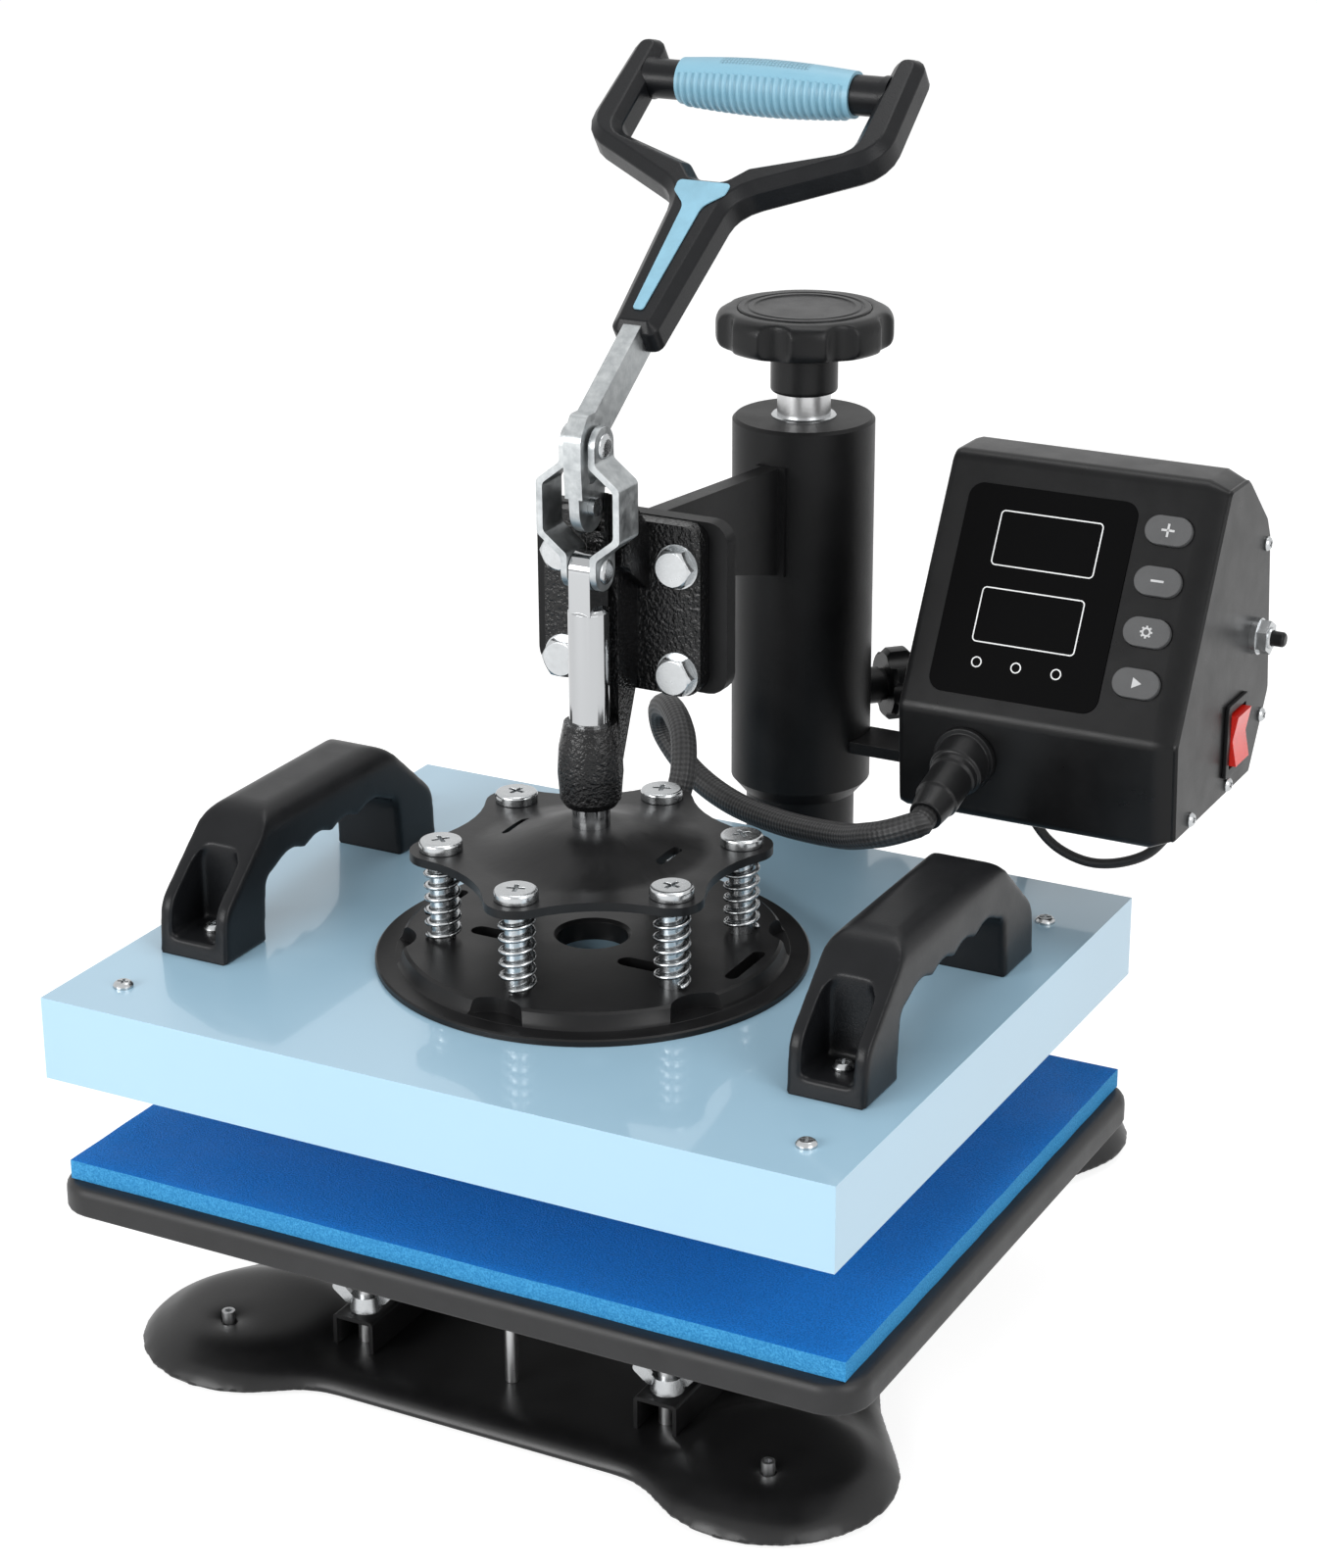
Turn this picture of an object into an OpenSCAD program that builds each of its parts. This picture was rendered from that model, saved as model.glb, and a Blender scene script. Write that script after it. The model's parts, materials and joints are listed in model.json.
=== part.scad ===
// Swing-away heat press: a pressed base carries a padded lower platen and a column.
// A sleeve on the column swings the upper platen aside and a screw sets its height.
// A toggle lever drives the ram, and the ram pushes the platen through a sprung spider.
// Modelling frame: column axis at x = y = 0, floor at z = 0, the operator stands at -Y.

/* [Heated platen] */
// Width of the sheet cover
cover_w = 380; // [340:1:420]
// Depth of the sheet cover, front to back
cover_d = 320; // [290:1:350]
// Height of the sheet cover
cover_h = 38.4; // [32:0.1:50]
// Thickness of the cover sheet
cover_t = 1.5; // [1:0.1:2.5]
// Thickness of the heated aluminium plate
heat_t = 12; // [8:0.5:16]
// Distance of the cover's centre behind the ram axis
cover_shift = 9.5; // [0:0.5:16]
// Open gap between the heated plate and the pad
open_gap = 45; // [44:0.5:70]

/* [Lower platen] */
// Width of the foam pad
pad_w = 380; // [330:1:420]
// Depth of the foam pad
pad_d = 300; // [270:1:340]
// Thickness of the foam pad
pad_t = 9; // [5:0.5:14]
// Border of the lower plate beyond the pad
plate_border = 7; // [4:0.5:12]
// Height of the lower plate
plate_h = 14; // [11:0.5:20]
// Corner radius of the lower plate
plate_corner = 18; // [12:1:30]
// Wall and web thickness of the lower plate
plate_wall = 5; // [3.5:0.5:7]
// Height of the lower plate's underside above the floor
plate_z = 81; // [70:0.5:95]
// Distance of the pad's centre behind the ram axis
pad_shift = 11.5; // [4:0.5:18]

/* [Base] */
// Height of the flat top of the base
base_h = 12; // [9:0.5:18]
// Sheet thickness of the base
base_t = 2.5; // [1.5:0.1:3.5]
// Clearance of the rim above the floor
rim_z = 2.5; // [1:0.5:4]
// Height of the raised corner pressings
dome_h = 6; // [4:0.5:9]
// Radius of the front lobes
front_r = 55; // [50:1:64]
// Distance of each front lobe from the centre line
front_x = 131; // [122:1:145]
// Distance of the front lobes ahead of the column
front_reach = 294; // [280:1:310]
// Distance of the straight front edge ahead of the column
front_edge = 326; // [318:1:332]
// Radius of the rear lobes
rear_r = 50; // [44:1:58]
// Distance of each rear lobe from the centre line
rear_x = 106; // [98:1:115]
// Distance of the rear lobes behind the column
rear_reach = 56; // [50:1:66]
// Distance of the straight rear edge behind the column
rear_edge = 80; // [72:1:84]
// Radius of the fillets beside the straight edges
edge_fillet = 40; // [25:1:48]
// Radius of the concave sides
side_r = 260; // [235:1:320]
// Diameter of the rubber feet
foot_d = 30; // [24:1:36]
// Diameter of the foot studs
foot_stud_d = 6; // [5:0.5:8]

/* [Rails and studs] */
// Distance of each rail from the centre line
rail_x = 77; // [68:1:88]
// Width of a rail
rail_w = 21; // [16:1:28]
// Height of a rail
rail_h = 16; // [12:1:24]
// Sheet thickness of a rail
rail_t = 2; // [1.5:0.5:3]
// Distance of the rails' front end ahead of the column
rail_front = 300; // [290:1:306]
// Distance of the rails' rear end behind the column
rail_rear = 12; // [4:1:16]
// Diameter of the platen studs
stud_d = 8; // [6:1:10]
// Distance of the front studs behind the rails' front end
stud_inset = 12; // [10:1:20]
// Distance between the front and rear studs
stud_pitch = 176; // [150:1:200]
// Diameter of the centre support rod
rod_d = 6; // [5:0.5:8]

/* [Column] */
// Diameter of the fixed post
post_d = 53; // [44:1:56]
// Wall of the fixed post
post_wall = 4.5; // [3:0.5:6]
// Height of the post's top above the floor
post_top = 366; // [340:1:368]
// Diameter of the post's foot flange
post_flange_d = 98; // [92:1:106]
// Outer diameter of the swinging sleeve
sleeve_d = 68; // [64:1:76]
// Height of the sleeve's lower edge above the floor
sleeve_z0 = 203; // [200:1:210]
// Height of the sleeve's top above the floor
sleeve_z1 = 384; // [382:1:396]
// Thickness of the sleeve's top plate
sleeve_cap_t = 8; // [5:0.5:9]
// Diameter of the pressure shaft
shaft_d = 25.5; // [22:0.5:28]
// Diameter of the threaded part of the shaft
thread_d = 18; // [14:1:20]
// Diameter of the pressure knob
knob_d = 84; // [70:1:100]
// Thickness of the pressure knob
knob_h = 18; // [14:1:26]
// Diameter of the knob's inset cap
knob_cap_d = 63; // [50:1:66]
// Height of the knob's hub
hub_h = 22; // [16:1:30]
// Diameter of the knob's hub
hub_d = 32; // [29:1:40]

/* [Press head] */
// Distance of the ram axis ahead of the column
ram_reach = 211.5; // [206:0.5:216]
// Height of the lever pivot
pivot_z = 395; // [392:0.5:400]
// Distance from lever pivot to crank pin
crank = 27; // [25:0.5:28]
// Distance between the pins of a link
link_len = 55; // [53:0.5:58]
// Forward travel of the lever in degrees
lever_travel = 124; // [110:1:126]
// Backward lean of the lever from upright in degrees
lever_lean = 55.5; // [50:0.5:62]
// Diameter of the ram
ram_d = 18; // [14:0.5:20]
// Diameter of the pivot and lower pins
pin_d = 8; // [7:0.5:9]
// Diameter of the crank pin
crank_pin_d = 6; // [5:0.5:7]
// Thickness of the link strips
link_t = 3; // [2.5:0.5:4]
// Width of the link strips
link_w = 17; // [15:0.5:18]
// Half width of the arm's flange plate
arm_flange_x = 47; // [44:0.5:52]
// Thickness of the arm's flange plate
arm_flange_t = 8; // [6:0.5:10]
// Thickness of the arm's web
arm_web_t = 9; // [7:0.5:12]
// Half width of the casting's flange
head_flange_x = 38.5; // [37:0.5:42]
// Thickness of the casting's flange
head_flange_t = 9; // [7:0.5:11]
// Distance of the bolted joint behind the ram axis
joint_back = 38.5; // [36:0.5:42]
// Diameter of the flange bolts
flange_bolt_d = 10; // [8:1:11]

/* [Spider] */
// Radius of the bolt circle
spider_r = 66; // [60:0.5:70]
// Thickness of the spider plate
spider_t = 4; // [3:0.5:6]
// Radius of each spider lobe
lobe_r = 14; // [12:0.5:16]
// Reach of the hollow flanks beyond the straight line between two bolts
flank_dip = 6; // [3:0.5:8]
// Rise of the spider's domed centre
spider_dome = 10.5; // [8:0.5:12]
// Diameter of the mounting disc
disc_d = 193.2; // [180:0.2:200]
// Thickness of the disc's rim
disc_t = 3; // [2:0.5:5]
// Height of the disc's raised middle above its rim
disc_rise = 7; // [5:0.5:10]
// Free height of the springs between disc and spider
spring_h = 37.5; // [33:0.5:40]
// Outer diameter of the springs
spring_d = 16.5; // [15.5:0.5:18]
// Wire diameter of the springs
spring_wire = 2.2; // [1.6:0.1:2.5]
// Coils in a spring
spring_coils = 6; // [4:1:7]
// Shank diameter of the shoulder bolts
shoulder_d = 11; // [9:0.5:11.5]

/* [Grab handles] */
// Distance of each grab handle's middle from the cover's side
grab_inset = 35; // [32:1:45]
// Length of a grab handle
grab_len = 178; // [165:1:190]
// Height of a grab handle
grab_h = 59; // [52:1:70]
// Width of a grab handle
grab_w = 36; // [32:1:40]

/* [Lever handle] */
// Width of the lever bar
bar_w = 16; // [14:1:18]
// Thickness of the lever bar
bar_t = 8.4; // [7:0.2:8.6]
// Distance from the lever's bend to the grip axis
grip_reach = 209; // [195:1:225]
// Half width of the handle loop
loop_x = 73; // [68:0.5:80]
// Thickness of the handle loop
loop_t = 19; // [17:0.5:24]
// Length of the coloured grip
grip_len = 86; // [76:1:92]
// Diameter of the grip at its middle
grip_d = 25; // [22:0.5:28]
// Diameter of the grip's end stubs
stub_d = 18; // [16:0.5:20]

/* [Control box] */
// Distance of the box's left side from the column axis
box_x0 = 93; // [88:1:100]
// Width of the box
box_w = 132; // [124:1:150]
// Height of the box's floor
box_z0 = 234; // [233:1:240]
// Wall of the box
box_wall = 2.5; // [2:0.1:3]
// Lean of the control face from upright in degrees
face_lean = 28.7; // [26:0.1:31]
// Width of the display panel
panel_w = 80.7; // [70:0.1:82]
// Height of the display panel along the sloping face
panel_h = 96.5; // [85:0.1:98]
// Corner radius of the display panel
panel_r = 7; // [3:0.5:12]
// Width of a push button
button_w = 21.7; // [18:0.1:22]
// Height of a push button
button_h = 13.2; // [10:0.1:15]
// Spacing of the push buttons
button_pitch = 23; // [21:0.1:24]
// Height of the switch bezel
bezel_h = 35; // [30:0.5:38]
// Width of the switch bezel
bezel_w = 27; // [24:0.5:30]
// Length of the circuit breaker outside the box
breaker_len = 15; // [12:0.5:18]
// Diameter of the heater cable
cable_d = 12; // [10:0.5:13]
// Diameter of the lead under the box
lead_d = 4.8; // [4.4:0.1:6]

/* [Fits] */
// Running clearance of shafts in bores, on the radius
run_gap = 0.05; // [0.03:0.01:0.1]
// Clearance between parts that move past each other
move_gap = 0.3; // [0.25:0.05:0.5]

/* [Hidden] */
$fn = 64;

// Levels from the floor upwards
base_under = base_h - base_t;
dome_z = base_h + dome_h;
dome_under = dome_z - base_t;
rail_top = base_h + rail_h;
plate_top = plate_z + plate_h;
pad_top = plate_top + pad_t;
heat_z = pad_top + open_gap;
cover_lip = 0.6;
cover_z0 = heat_z + cover_lip;
cover_z1 = cover_z0 + cover_h;
disc_top = cover_z1 + disc_t;
seat_z = disc_top + disc_rise;
spider_z = seat_z + spring_h;
spider_top = spider_z + spider_t;
dome_top = spider_top + spider_dome;

// Plan positions
ram_y = -ram_reach;
cover_y = ram_y + cover_shift;
pad_y = ram_y + pad_shift;
breaker_tip = box_x0 + box_w + breaker_len;
plate_w = pad_w + 2 * plate_border;
plate_d = pad_d + 2 * plate_border;
grab_x = cover_w / 2 - grab_inset;
mid_x = (breaker_tip - plate_w / 2) / 2;
mid_y = (rear_reach + rear_r + cover_y - cover_d / 2) / 2;

// Linkage levels
low_pin_z = pivot_z + crank - link_len;
crank_z = pivot_z + crank;
bend_z = crank_z + 4;
ram_shoulder = low_pin_z - 17;

// Colours
black = "#1c1d1f";
satin = "#26272a";
steel = "#b9bcbf";
zinc = "#cfd1d2";
sky = "#b4d9ec";
blue = "#2b78bd";
pale = "#8ec1da";
grey = "#4a4d52";

// Plane geometry
function unit(v) = v / norm(v);
function arc(c, r, a0, a1, n) =
    [for (i = [0:n]) c + r * [cos(a0 + (a1 - a0) * i / n), sin(a0 + (a1 - a0) * i / n)]];
function angle_to(c, p) = atan2(p[1] - c[1], p[0] - c[0]);
function turn(a0, a1) = (a1 - a0 + 540) % 360 - 180;
function corner(a, p, b, r, n) =
    let (u = unit(a - p), w = unit(b - p), half = acos(u * w) / 2)
    let (c = p + unit(u + w) * r / sin(half), s = p + u * r / tan(half), e = p + w * r / tan(half))
    let (a0 = angle_to(c, s))
    arc(c, r, a0, a0 + turn(a0, angle_to(c, e)), n);
function rounded(pts, radii, n = 4) =
    let (m = len(pts))
    [for (i = [0:m - 1])
        each corner(pts[(i + m - 1) % m], pts[i], pts[(i + 1) % m], radii[i], n)];
function inward(a, b) = let (d = unit(b - a)) [-d[1], d[0]];
function inset(pts, d) =
    let (m = len(pts))
    [for (i = [0:m - 1])
        let (n1 = inward(pts[(i + m - 1) % m], pts[i]), n2 = inward(pts[i], pts[(i + 1) % m]))
        pts[i] + (n1 + n2) * d / (1 + n1 * n2)];
function level(pts, z) = [for (p = pts) [p[0], p[1], z]];
function mirrored(pts) = [for (i = [len(pts) - 1:-1:0]) [-pts[i][0], pts[i][1]]];
function box_points(w, d) = [[-w / 2, -d / 2], [w / 2, -d / 2], [w / 2, d / 2], [-w / 2, d / 2]];

// One closed skin through rings of equal length, capped at both ends
module loft(rings) {
    n = len(rings[0]);
    m = len(rings);
    points = [for (ring = rings) each ring];
    sides = [for (k = [0:m - 2]) for (i = [0:n - 1])
        let (j = (i + 1) % n, a = k * n + i, b = k * n + n + i, c = k * n + n + j, d = k * n + j)
        each [[a, b, c], [a, c, d]]];
    first = [for (i = [0:n - 1]) i];
    last = [for (i = [n - 1:-1:0]) (m - 1) * n + i];
    polyhedron(points, concat([first], sides, [last]));
}

// One closed skin through rings that lead back to the first
module hoop(rings) {
    n = len(rings[0]);
    m = len(rings);
    polyhedron([for (ring = rings) each ring], [for (k = [0:m - 1]) for (i = [0:n - 1])
        let (j = (i + 1) % n, l = (k + 1) % m)
        each [[k * n + i, l * n + i, l * n + j], [k * n + i, l * n + j, k * n + j]]]);
}

// Round tube along a list of points
function tangent(path, i) =
    unit(path[min(i + 1, len(path) - 1)] - path[max(i - 1, 0)]);
function carry(normal, t) = unit(normal - t * (normal * t));
function frames(path, normal, i = 0) =
    let (n = carry(normal, tangent(path, i)))
    i == len(path) - 1 ? [n] : concat([n], frames(path, n, i + 1));
module tube(path, r, sides, start) {
    normals = frames(path, start);
    loft([for (i = [0:len(path) - 1])
        let (t = tangent(path, i), u = normals[i], w = cross(t, u))
        [for (k = [0:sides - 1]) path[i] + r * (cos(360 * k / sides) * u + sin(360 * k / sides) * w)]]);
}
function blend(p, t) =
    0.5 * (2 * p[1] + (p[2] - p[0]) * t + (2 * p[0] - 5 * p[1] + 4 * p[2] - p[3]) * t * t
        + (3 * p[1] - p[0] - 3 * p[2] + p[3]) * t * t * t);
function smooth(pts, n) =
    let (m = len(pts))
    concat([for (i = [0:m - 2]) for (k = [0:n - 1])
        blend([pts[max(i - 1, 0)], pts[i], pts[i + 1], pts[min(i + 2, m - 1)]], k / n)],
        [pts[m - 1]]);

// Placement helpers
module place() {
    translate([-mid_x, -mid_y, 0]) children();
}
module both_sides() {
    children();
    mirror([1, 0, 0]) children();
}
// A profile drawn in (y, z), extruded across x
module across(width) {
    rotate([90, 0, 90]) linear_extrude(width, center = true) children();
}
module rod_x(d, x0, x1) {
    translate([x0, 0, 0]) rotate([0, 90, 0]) cylinder(d = d, h = x1 - x0);
}
module rod_y(d, y0, y1) {
    translate([0, y1, 0]) rotate([90, 0, 0]) cylinder(d = d, h = y1 - y0);
}
module hexagon(across_flats, h) {
    cylinder(d = across_flats / cos(30), h = h, $fn = 6);
}
// Bolt head with its upper corners turned off
module hex_head(across_flats, h) {
    intersection() {
        hexagon(across_flats, h + 1);
        rotate_extrude() polygon([[0, -1], [across_flats * 0.6, -1], [across_flats * 0.6, h - across_flats * 0.07],
            [across_flats * 0.47, h], [0, h]]);
    }
}
module cross_slot(length, width, depth) {
    for (a = [20, 110]) rotate(a) translate([-length / 2, -width / 2, -depth]) cube([length, width, depth + 1]);
}
module pan_head(d, h) {
    difference() {
        rotate_extrude() polygon([[0, 0], [d / 2, 0], [d / 2, h * 0.4], [d * 0.42, h * 0.8], [d / 3, h], [0, h]]);
        translate([0, 0, h]) cross_slot(d * 0.55, d * 0.13, h * 0.45);
    }
}

// Base outline: lobes at the corners, straight ends with fillets, one concave arc each side
front_lobe = [front_x, -front_reach];
rear_lobe = [rear_x, rear_reach];
front_fillet = [front_x - sqrt(pow(edge_fillet + front_r, 2) - pow(front_edge + edge_fillet - front_reach, 2)),
    -front_edge - edge_fillet];
rear_fillet = [rear_x - sqrt(pow(edge_fillet + rear_r, 2) - pow(rear_edge + edge_fillet - rear_reach, 2)),
    rear_edge + edge_fillet];
lobe_span = norm(rear_lobe - front_lobe);
side_along = (pow(side_r + front_r, 2) - pow(side_r + rear_r, 2) + pow(lobe_span, 2)) / (2 * lobe_span);
side_out = sqrt(pow(side_r + front_r, 2) - pow(side_along, 2));
lobe_dir = unit(rear_lobe - front_lobe);
side_c = front_lobe + side_along * lobe_dir + side_out * [lobe_dir[1], -lobe_dir[0]];

function base_half() =
    let (a1 = angle_to(front_fillet, front_lobe), a2 = angle_to(front_lobe, side_c))
    let (a3 = angle_to(side_c, rear_lobe), a4 = angle_to(rear_lobe, rear_fillet))
    concat(
        arc(front_fillet, edge_fillet, 90, a1, 5),
        arc(front_lobe, front_r, a1 - 180, a2, 12),
        arc(side_c, side_r, a2 + 180, a3, 8),
        arc(rear_lobe, rear_r, a3 - 180, a4, 12),
        arc(rear_fillet, edge_fillet, a4 + 180, 270, 5));
function no_twins(pts) =
    [for (i = [0:len(pts) - 1]) if (norm(pts[i] - pts[(i + 1) % len(pts)]) > 0.01) pts[i]];
base_line = no_twins(concat(base_half(), mirrored(base_half())));

foot_front = front_lobe + [6, -17];
foot_rear = rear_lobe + [4, 12];
rim_roll = 7;
dome_slope = 11;
front_press = front_r - rim_roll - 1.2;
rear_press = rear_r - rim_roll - 1.2;
valley_x = rail_x + rail_w / 2 + 0.5;

// Raised pressing of foot radius r, dropped by the sheet thickness for its underside
module pressing(r, drop) {
    foot_r = r - drop * 0.6;
    root = base_h - drop - (drop > 0 ? 1 : base_t / 2);
    rise = [[0, 0], [0.2, 0.16], [0.5, 0.62], [0.75, 0.92], [1, 1]];
    rotate_extrude() polygon(concat([[0, root], [foot_r, root]],
        [for (p = rise) [foot_r - p[0] * dome_slope, base_h - drop + p[1] * dome_h]], [[0, dome_z - drop]]));
}
// The front pressings slope down beside the rails
module front_pressing(drop) {
    x0 = valley_x + drop;
    z0 = base_h - drop;
    intersection() {
        translate(front_lobe) pressing(front_press, drop);
        rotate([90, 0, 0]) linear_extrude(front_reach + front_r) polygon([[x0, 0], [x0, z0],
            [x0 + dome_slope, z0 + dome_h * 1.5], [front_x + front_r, z0 + dome_h * 1.5], [front_x + front_r, 0]]);
    }
}

module base_plate() {
    lip = 0.06;
    roll = [[0.8, rim_z], [0, rim_z + 2], [0.8, base_h - 4.5], [3, base_h - 1.6], [rim_roll, base_h + lip],
        [rim_roll + base_t, base_h - 4 * lip], [rim_roll + base_t, base_under + 4 * lip],
        [rim_roll + base_t * 0.7, base_under + lip], [3 + base_t * 0.9, base_under - 1.2],
        [0.8 + base_t, base_under - 3.2], [0.8 + base_t, rim_z]];
    color(black) place() difference() {
        union() {
            hoop([for (p = roll) level(inset(base_line, p[0]), p[1])]);
            translate([0, 0, base_under]) linear_extrude(base_t) polygon(inset(base_line, rim_roll + 2 * lip));
            both_sides() {
                front_pressing(0);
                translate(rear_lobe) pressing(rear_press, 0);
            }
        }
        both_sides() {
            front_pressing(base_t);
            translate(rear_lobe) pressing(rear_press, base_t);
            for (p = [foot_front, foot_rear])
                translate([p[0], p[1], base_under]) cylinder(d = foot_stud_d + 0.4, h = dome_h + 2 * base_t);
        }
        for (a = [45:90:315]) rotate(a) translate([post_bolt_r, 0, 0])
            cylinder(d = post_bolt_d + 0.4, h = base_h + base_t);
    }
}

stud_sink = 5;
module foot_spots() {
    for (sx = [-1, 1], p = [foot_front, foot_rear]) translate([sx * p[0], p[1], 0]) children();
}

module rubber_feet() {
    color(black) place() foot_spots() difference() {
        rotate_extrude() polygon([[0, 0], [foot_d / 2 - 1.5, 0], [foot_d / 2, 1.5], [foot_d / 2 - 1, dome_under],
            [0, dome_under]]);
        translate([0, 0, stud_sink]) cylinder(d = foot_stud_d + 2 * run_gap, h = dome_under);
    }
}

module foot_screws() {
    stud_rise = 4;
    color(steel) place() foot_spots() difference() {
        translate([0, 0, stud_sink]) cylinder(d = foot_stud_d, h = dome_z + stud_rise - stud_sink);
        translate([0, 0, dome_z + stud_rise - 2.5]) hexagon(foot_stud_d / 2, 3);
    }
}

// Rails, studs and the support rod under the lower platen
stud_y0 = -rail_front + stud_inset;
module stud_spots(sides = [-1, 1]) {
    for (sx = sides, y = [stud_y0, stud_y0 + stud_pitch]) translate([sx * rail_x, y, 0]) children();
}

module rail(side) {
    color(black) place() difference() {
        translate([side * rail_x, 0, base_h]) difference() {
            rotate([90, 0, 0]) translate([0, 0, -rail_rear]) linear_extrude(rail_front + rail_rear)
                polygon(rounded([[-rail_w / 2, 0], [rail_w / 2, 0], [rail_w / 2, rail_h], [-rail_w / 2, rail_h]],
                    [0.4, 0.4, rail_t, rail_t], 3));
            translate([-rail_w / 2 + rail_t, -rail_front - 1, -1])
                cube([rail_w - 2 * rail_t, rail_front + rail_rear - rail_t + 1, rail_h - rail_t + 1]);
        }
        stud_spots([side]) translate([0, 0, base_h]) cylinder(d = stud_d + 0.4, h = rail_h + 1);
    }
}
module rail_left() { rail(-1); }
module rail_right() { rail(1); }

boss_d = stud_d + 10;
stud_top = plate_top - plate_wall;
module platen_studs() {
    color(steel) place() stud_spots() translate([0, 0, base_h]) cylinder(d = stud_d, h = stud_top - base_h);
}

module wing_nuts() {
    nut_h = 7;
    color(zinc) place() stud_spots() translate([0, 0, rail_top]) difference() {
        union() {
            rotate_extrude() polygon([[0, 0], [stud_d * 0.95, 0], [stud_d * 0.8, nut_h], [0, nut_h]]);
            for (a = [20, 200]) rotate(a) rotate([90, 0, 0]) linear_extrude(3, center = true)
                polygon(rounded([[0, 1], [stud_d * 1.1, 2.5], [stud_d * 1.95, 10], [stud_d * 1.6, 15],
                    [stud_d * 0.8, 6.5], [0, 6.5]], [0.3, 1.5, 2.5, 2.5, 1.5, 0.3], 3));
        }
        translate([0, 0, -1]) cylinder(d = stud_d + 2 * run_gap, h = 2 * nut_h + 4);
    }
}

rod_y0 = -front_edge + 36;
module support_rod() {
    color(steel) place() translate([0, rod_y0, base_h]) {
        cylinder(d = rod_d, h = stud_top - base_h);
        cylinder(d = rod_d + 8, h = 4);
    }
}

module lower_platen() {
    line = rounded(box_points(plate_w, plate_d), [for (i = [0:3]) plate_corner], 6);
    edge = 5;
    outer = [[0.6, plate_z], [0, plate_z + 1], [0, plate_top - edge], [edge * 0.1, plate_top - edge * 0.56],
        [edge * 0.38, plate_top - edge * 0.2], [edge, plate_top]];
    inner = [[plate_wall, stud_top], [plate_wall, plate_z]];
    color(grey) place() difference() {
        union() {
            translate([0, pad_y, 0]) loft([for (s = concat(inner, outer)) level(inset(line, s[0]), s[1])]);
            stud_spots() translate([0, 0, plate_z]) cylinder(d = boss_d, h = stud_top - plate_z + 1);
            translate([0, rod_y0, plate_z]) cylinder(d = rod_d + 8, h = stud_top - plate_z + 1);
            for (sx = [-1, 1]) translate([sx * rail_x - plate_wall / 2, pad_y - plate_d / 2 + plate_wall, plate_z + 3])
                cube([plate_wall, plate_d - 2 * plate_wall, stud_top - plate_z - 2]);
        }
        stud_spots() translate([0, 0, plate_z - 1]) cylinder(d = stud_d + 2 * run_gap, h = stud_top - plate_z + 1);
        translate([0, rod_y0, plate_z - 1]) cylinder(d = rod_d + 2 * run_gap, h = stud_top - plate_z + 1);
    }
}

module silicone_pad() {
    line = rounded(box_points(pad_w, pad_d), [6, 6, 6, 6], 5);
    color(blue) place() translate([0, pad_y, 0])
        loft([for (s = [[0.8, plate_top], [0, plate_top + 1.2], [0, pad_top - 1.6], [0.5, pad_top - 0.5], [1.6, pad_top]])
            level(inset(line, s[0]), s[1])]);
}

// Column, sleeve and pressure screw
post_bolt_d = 8;
post_bolt_r = (post_flange_d + post_d) / 4 + 0.5;
post_flange_t = 6;
post_in = post_d / 2 - post_wall;
module column_post() {
    color(satin) place() difference() {
        rotate_extrude() polygon([[post_in, base_h], [post_flange_d / 2, base_h],
            [post_flange_d / 2, base_h + post_flange_t - 1], [post_flange_d / 2 - 1, base_h + post_flange_t],
            [post_d / 2 + 2.5, base_h + post_flange_t], [post_d / 2, base_h + post_flange_t + 2.5],
            [post_d / 2, post_top - 1.5], [post_d / 2 - 1.5, post_top], [post_in, post_top]]);
        for (a = [45:90:315]) rotate(a) translate([post_bolt_r, 0, base_h - 1])
            cylinder(d = post_bolt_d + 0.4, h = post_flange_t + 2);
    }
}

module post_bolts() {
    head_h = 5.5;
    nut_h = base_under - rim_z - 1;
    color(zinc) place() for (a = [45:90:315]) rotate(a) translate([post_bolt_r, 0, 0]) {
        translate([0, 0, base_h + post_flange_t]) hex_head(post_bolt_d * 1.6, head_h);
        translate([0, 0, base_under - nut_h]) cylinder(d = post_bolt_d, h = nut_h + base_t + post_flange_t + 1);
        translate([0, 0, base_under - nut_h]) hexagon(post_bolt_d * 1.6, nut_h);
    }
}

nut_drop = 36;
nut_len = 30;
module screw_nut() {
    color("#b08d45") place() translate([0, 0, post_top - nut_drop - nut_len]) difference() {
        cylinder(r = post_in - run_gap, h = nut_len);
        translate([0, 0, -1]) cylinder(d = thread_d + 4 * run_gap, h = nut_len + 2);
    }
}

cap_under = sleeve_z1 - sleeve_cap_t;
ring_d = shaft_d + 5.5;
hub_z = sleeve_z1 + 12;
knob_z = hub_z + hub_h;
knob_top = knob_z + knob_h;
ring_t = sleeve_cap_t - 1;
module thrust_bearing() {
    color(zinc) place() rotate_extrude() polygon([[shaft_d / 2 + run_gap, sleeve_z1 - ring_t],
        [ring_d / 2, sleeve_z1 - ring_t], [ring_d / 2, sleeve_z1 + 0.4], [ring_d / 2 - 0.6, sleeve_z1 + 1],
        [shaft_d / 2 + run_gap, sleeve_z1 + 1]]);
}

collar_h = 5.5;
module pressure_screw() {
    collar_z = cap_under - move_gap - collar_h;
    tip_z = post_top - nut_drop - nut_len - 60;
    spigot = 12;
    color(steel) place() rotate_extrude() polygon([[0, tip_z], [thread_d / 2 - 2, tip_z], [thread_d / 2, tip_z + 2],
        [thread_d / 2, collar_z - 12], [shaft_d / 2, collar_z - 9], [shaft_d / 2, collar_z],
        [shaft_d / 2 + 4.5, collar_z], [shaft_d / 2 + 4.5, collar_z + collar_h], [shaft_d / 2, collar_z + collar_h],
        [shaft_d / 2, hub_z], [thread_d / 2, hub_z], [thread_d / 2, hub_z + spigot], [0, hub_z + spigot]]);
}

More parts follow.
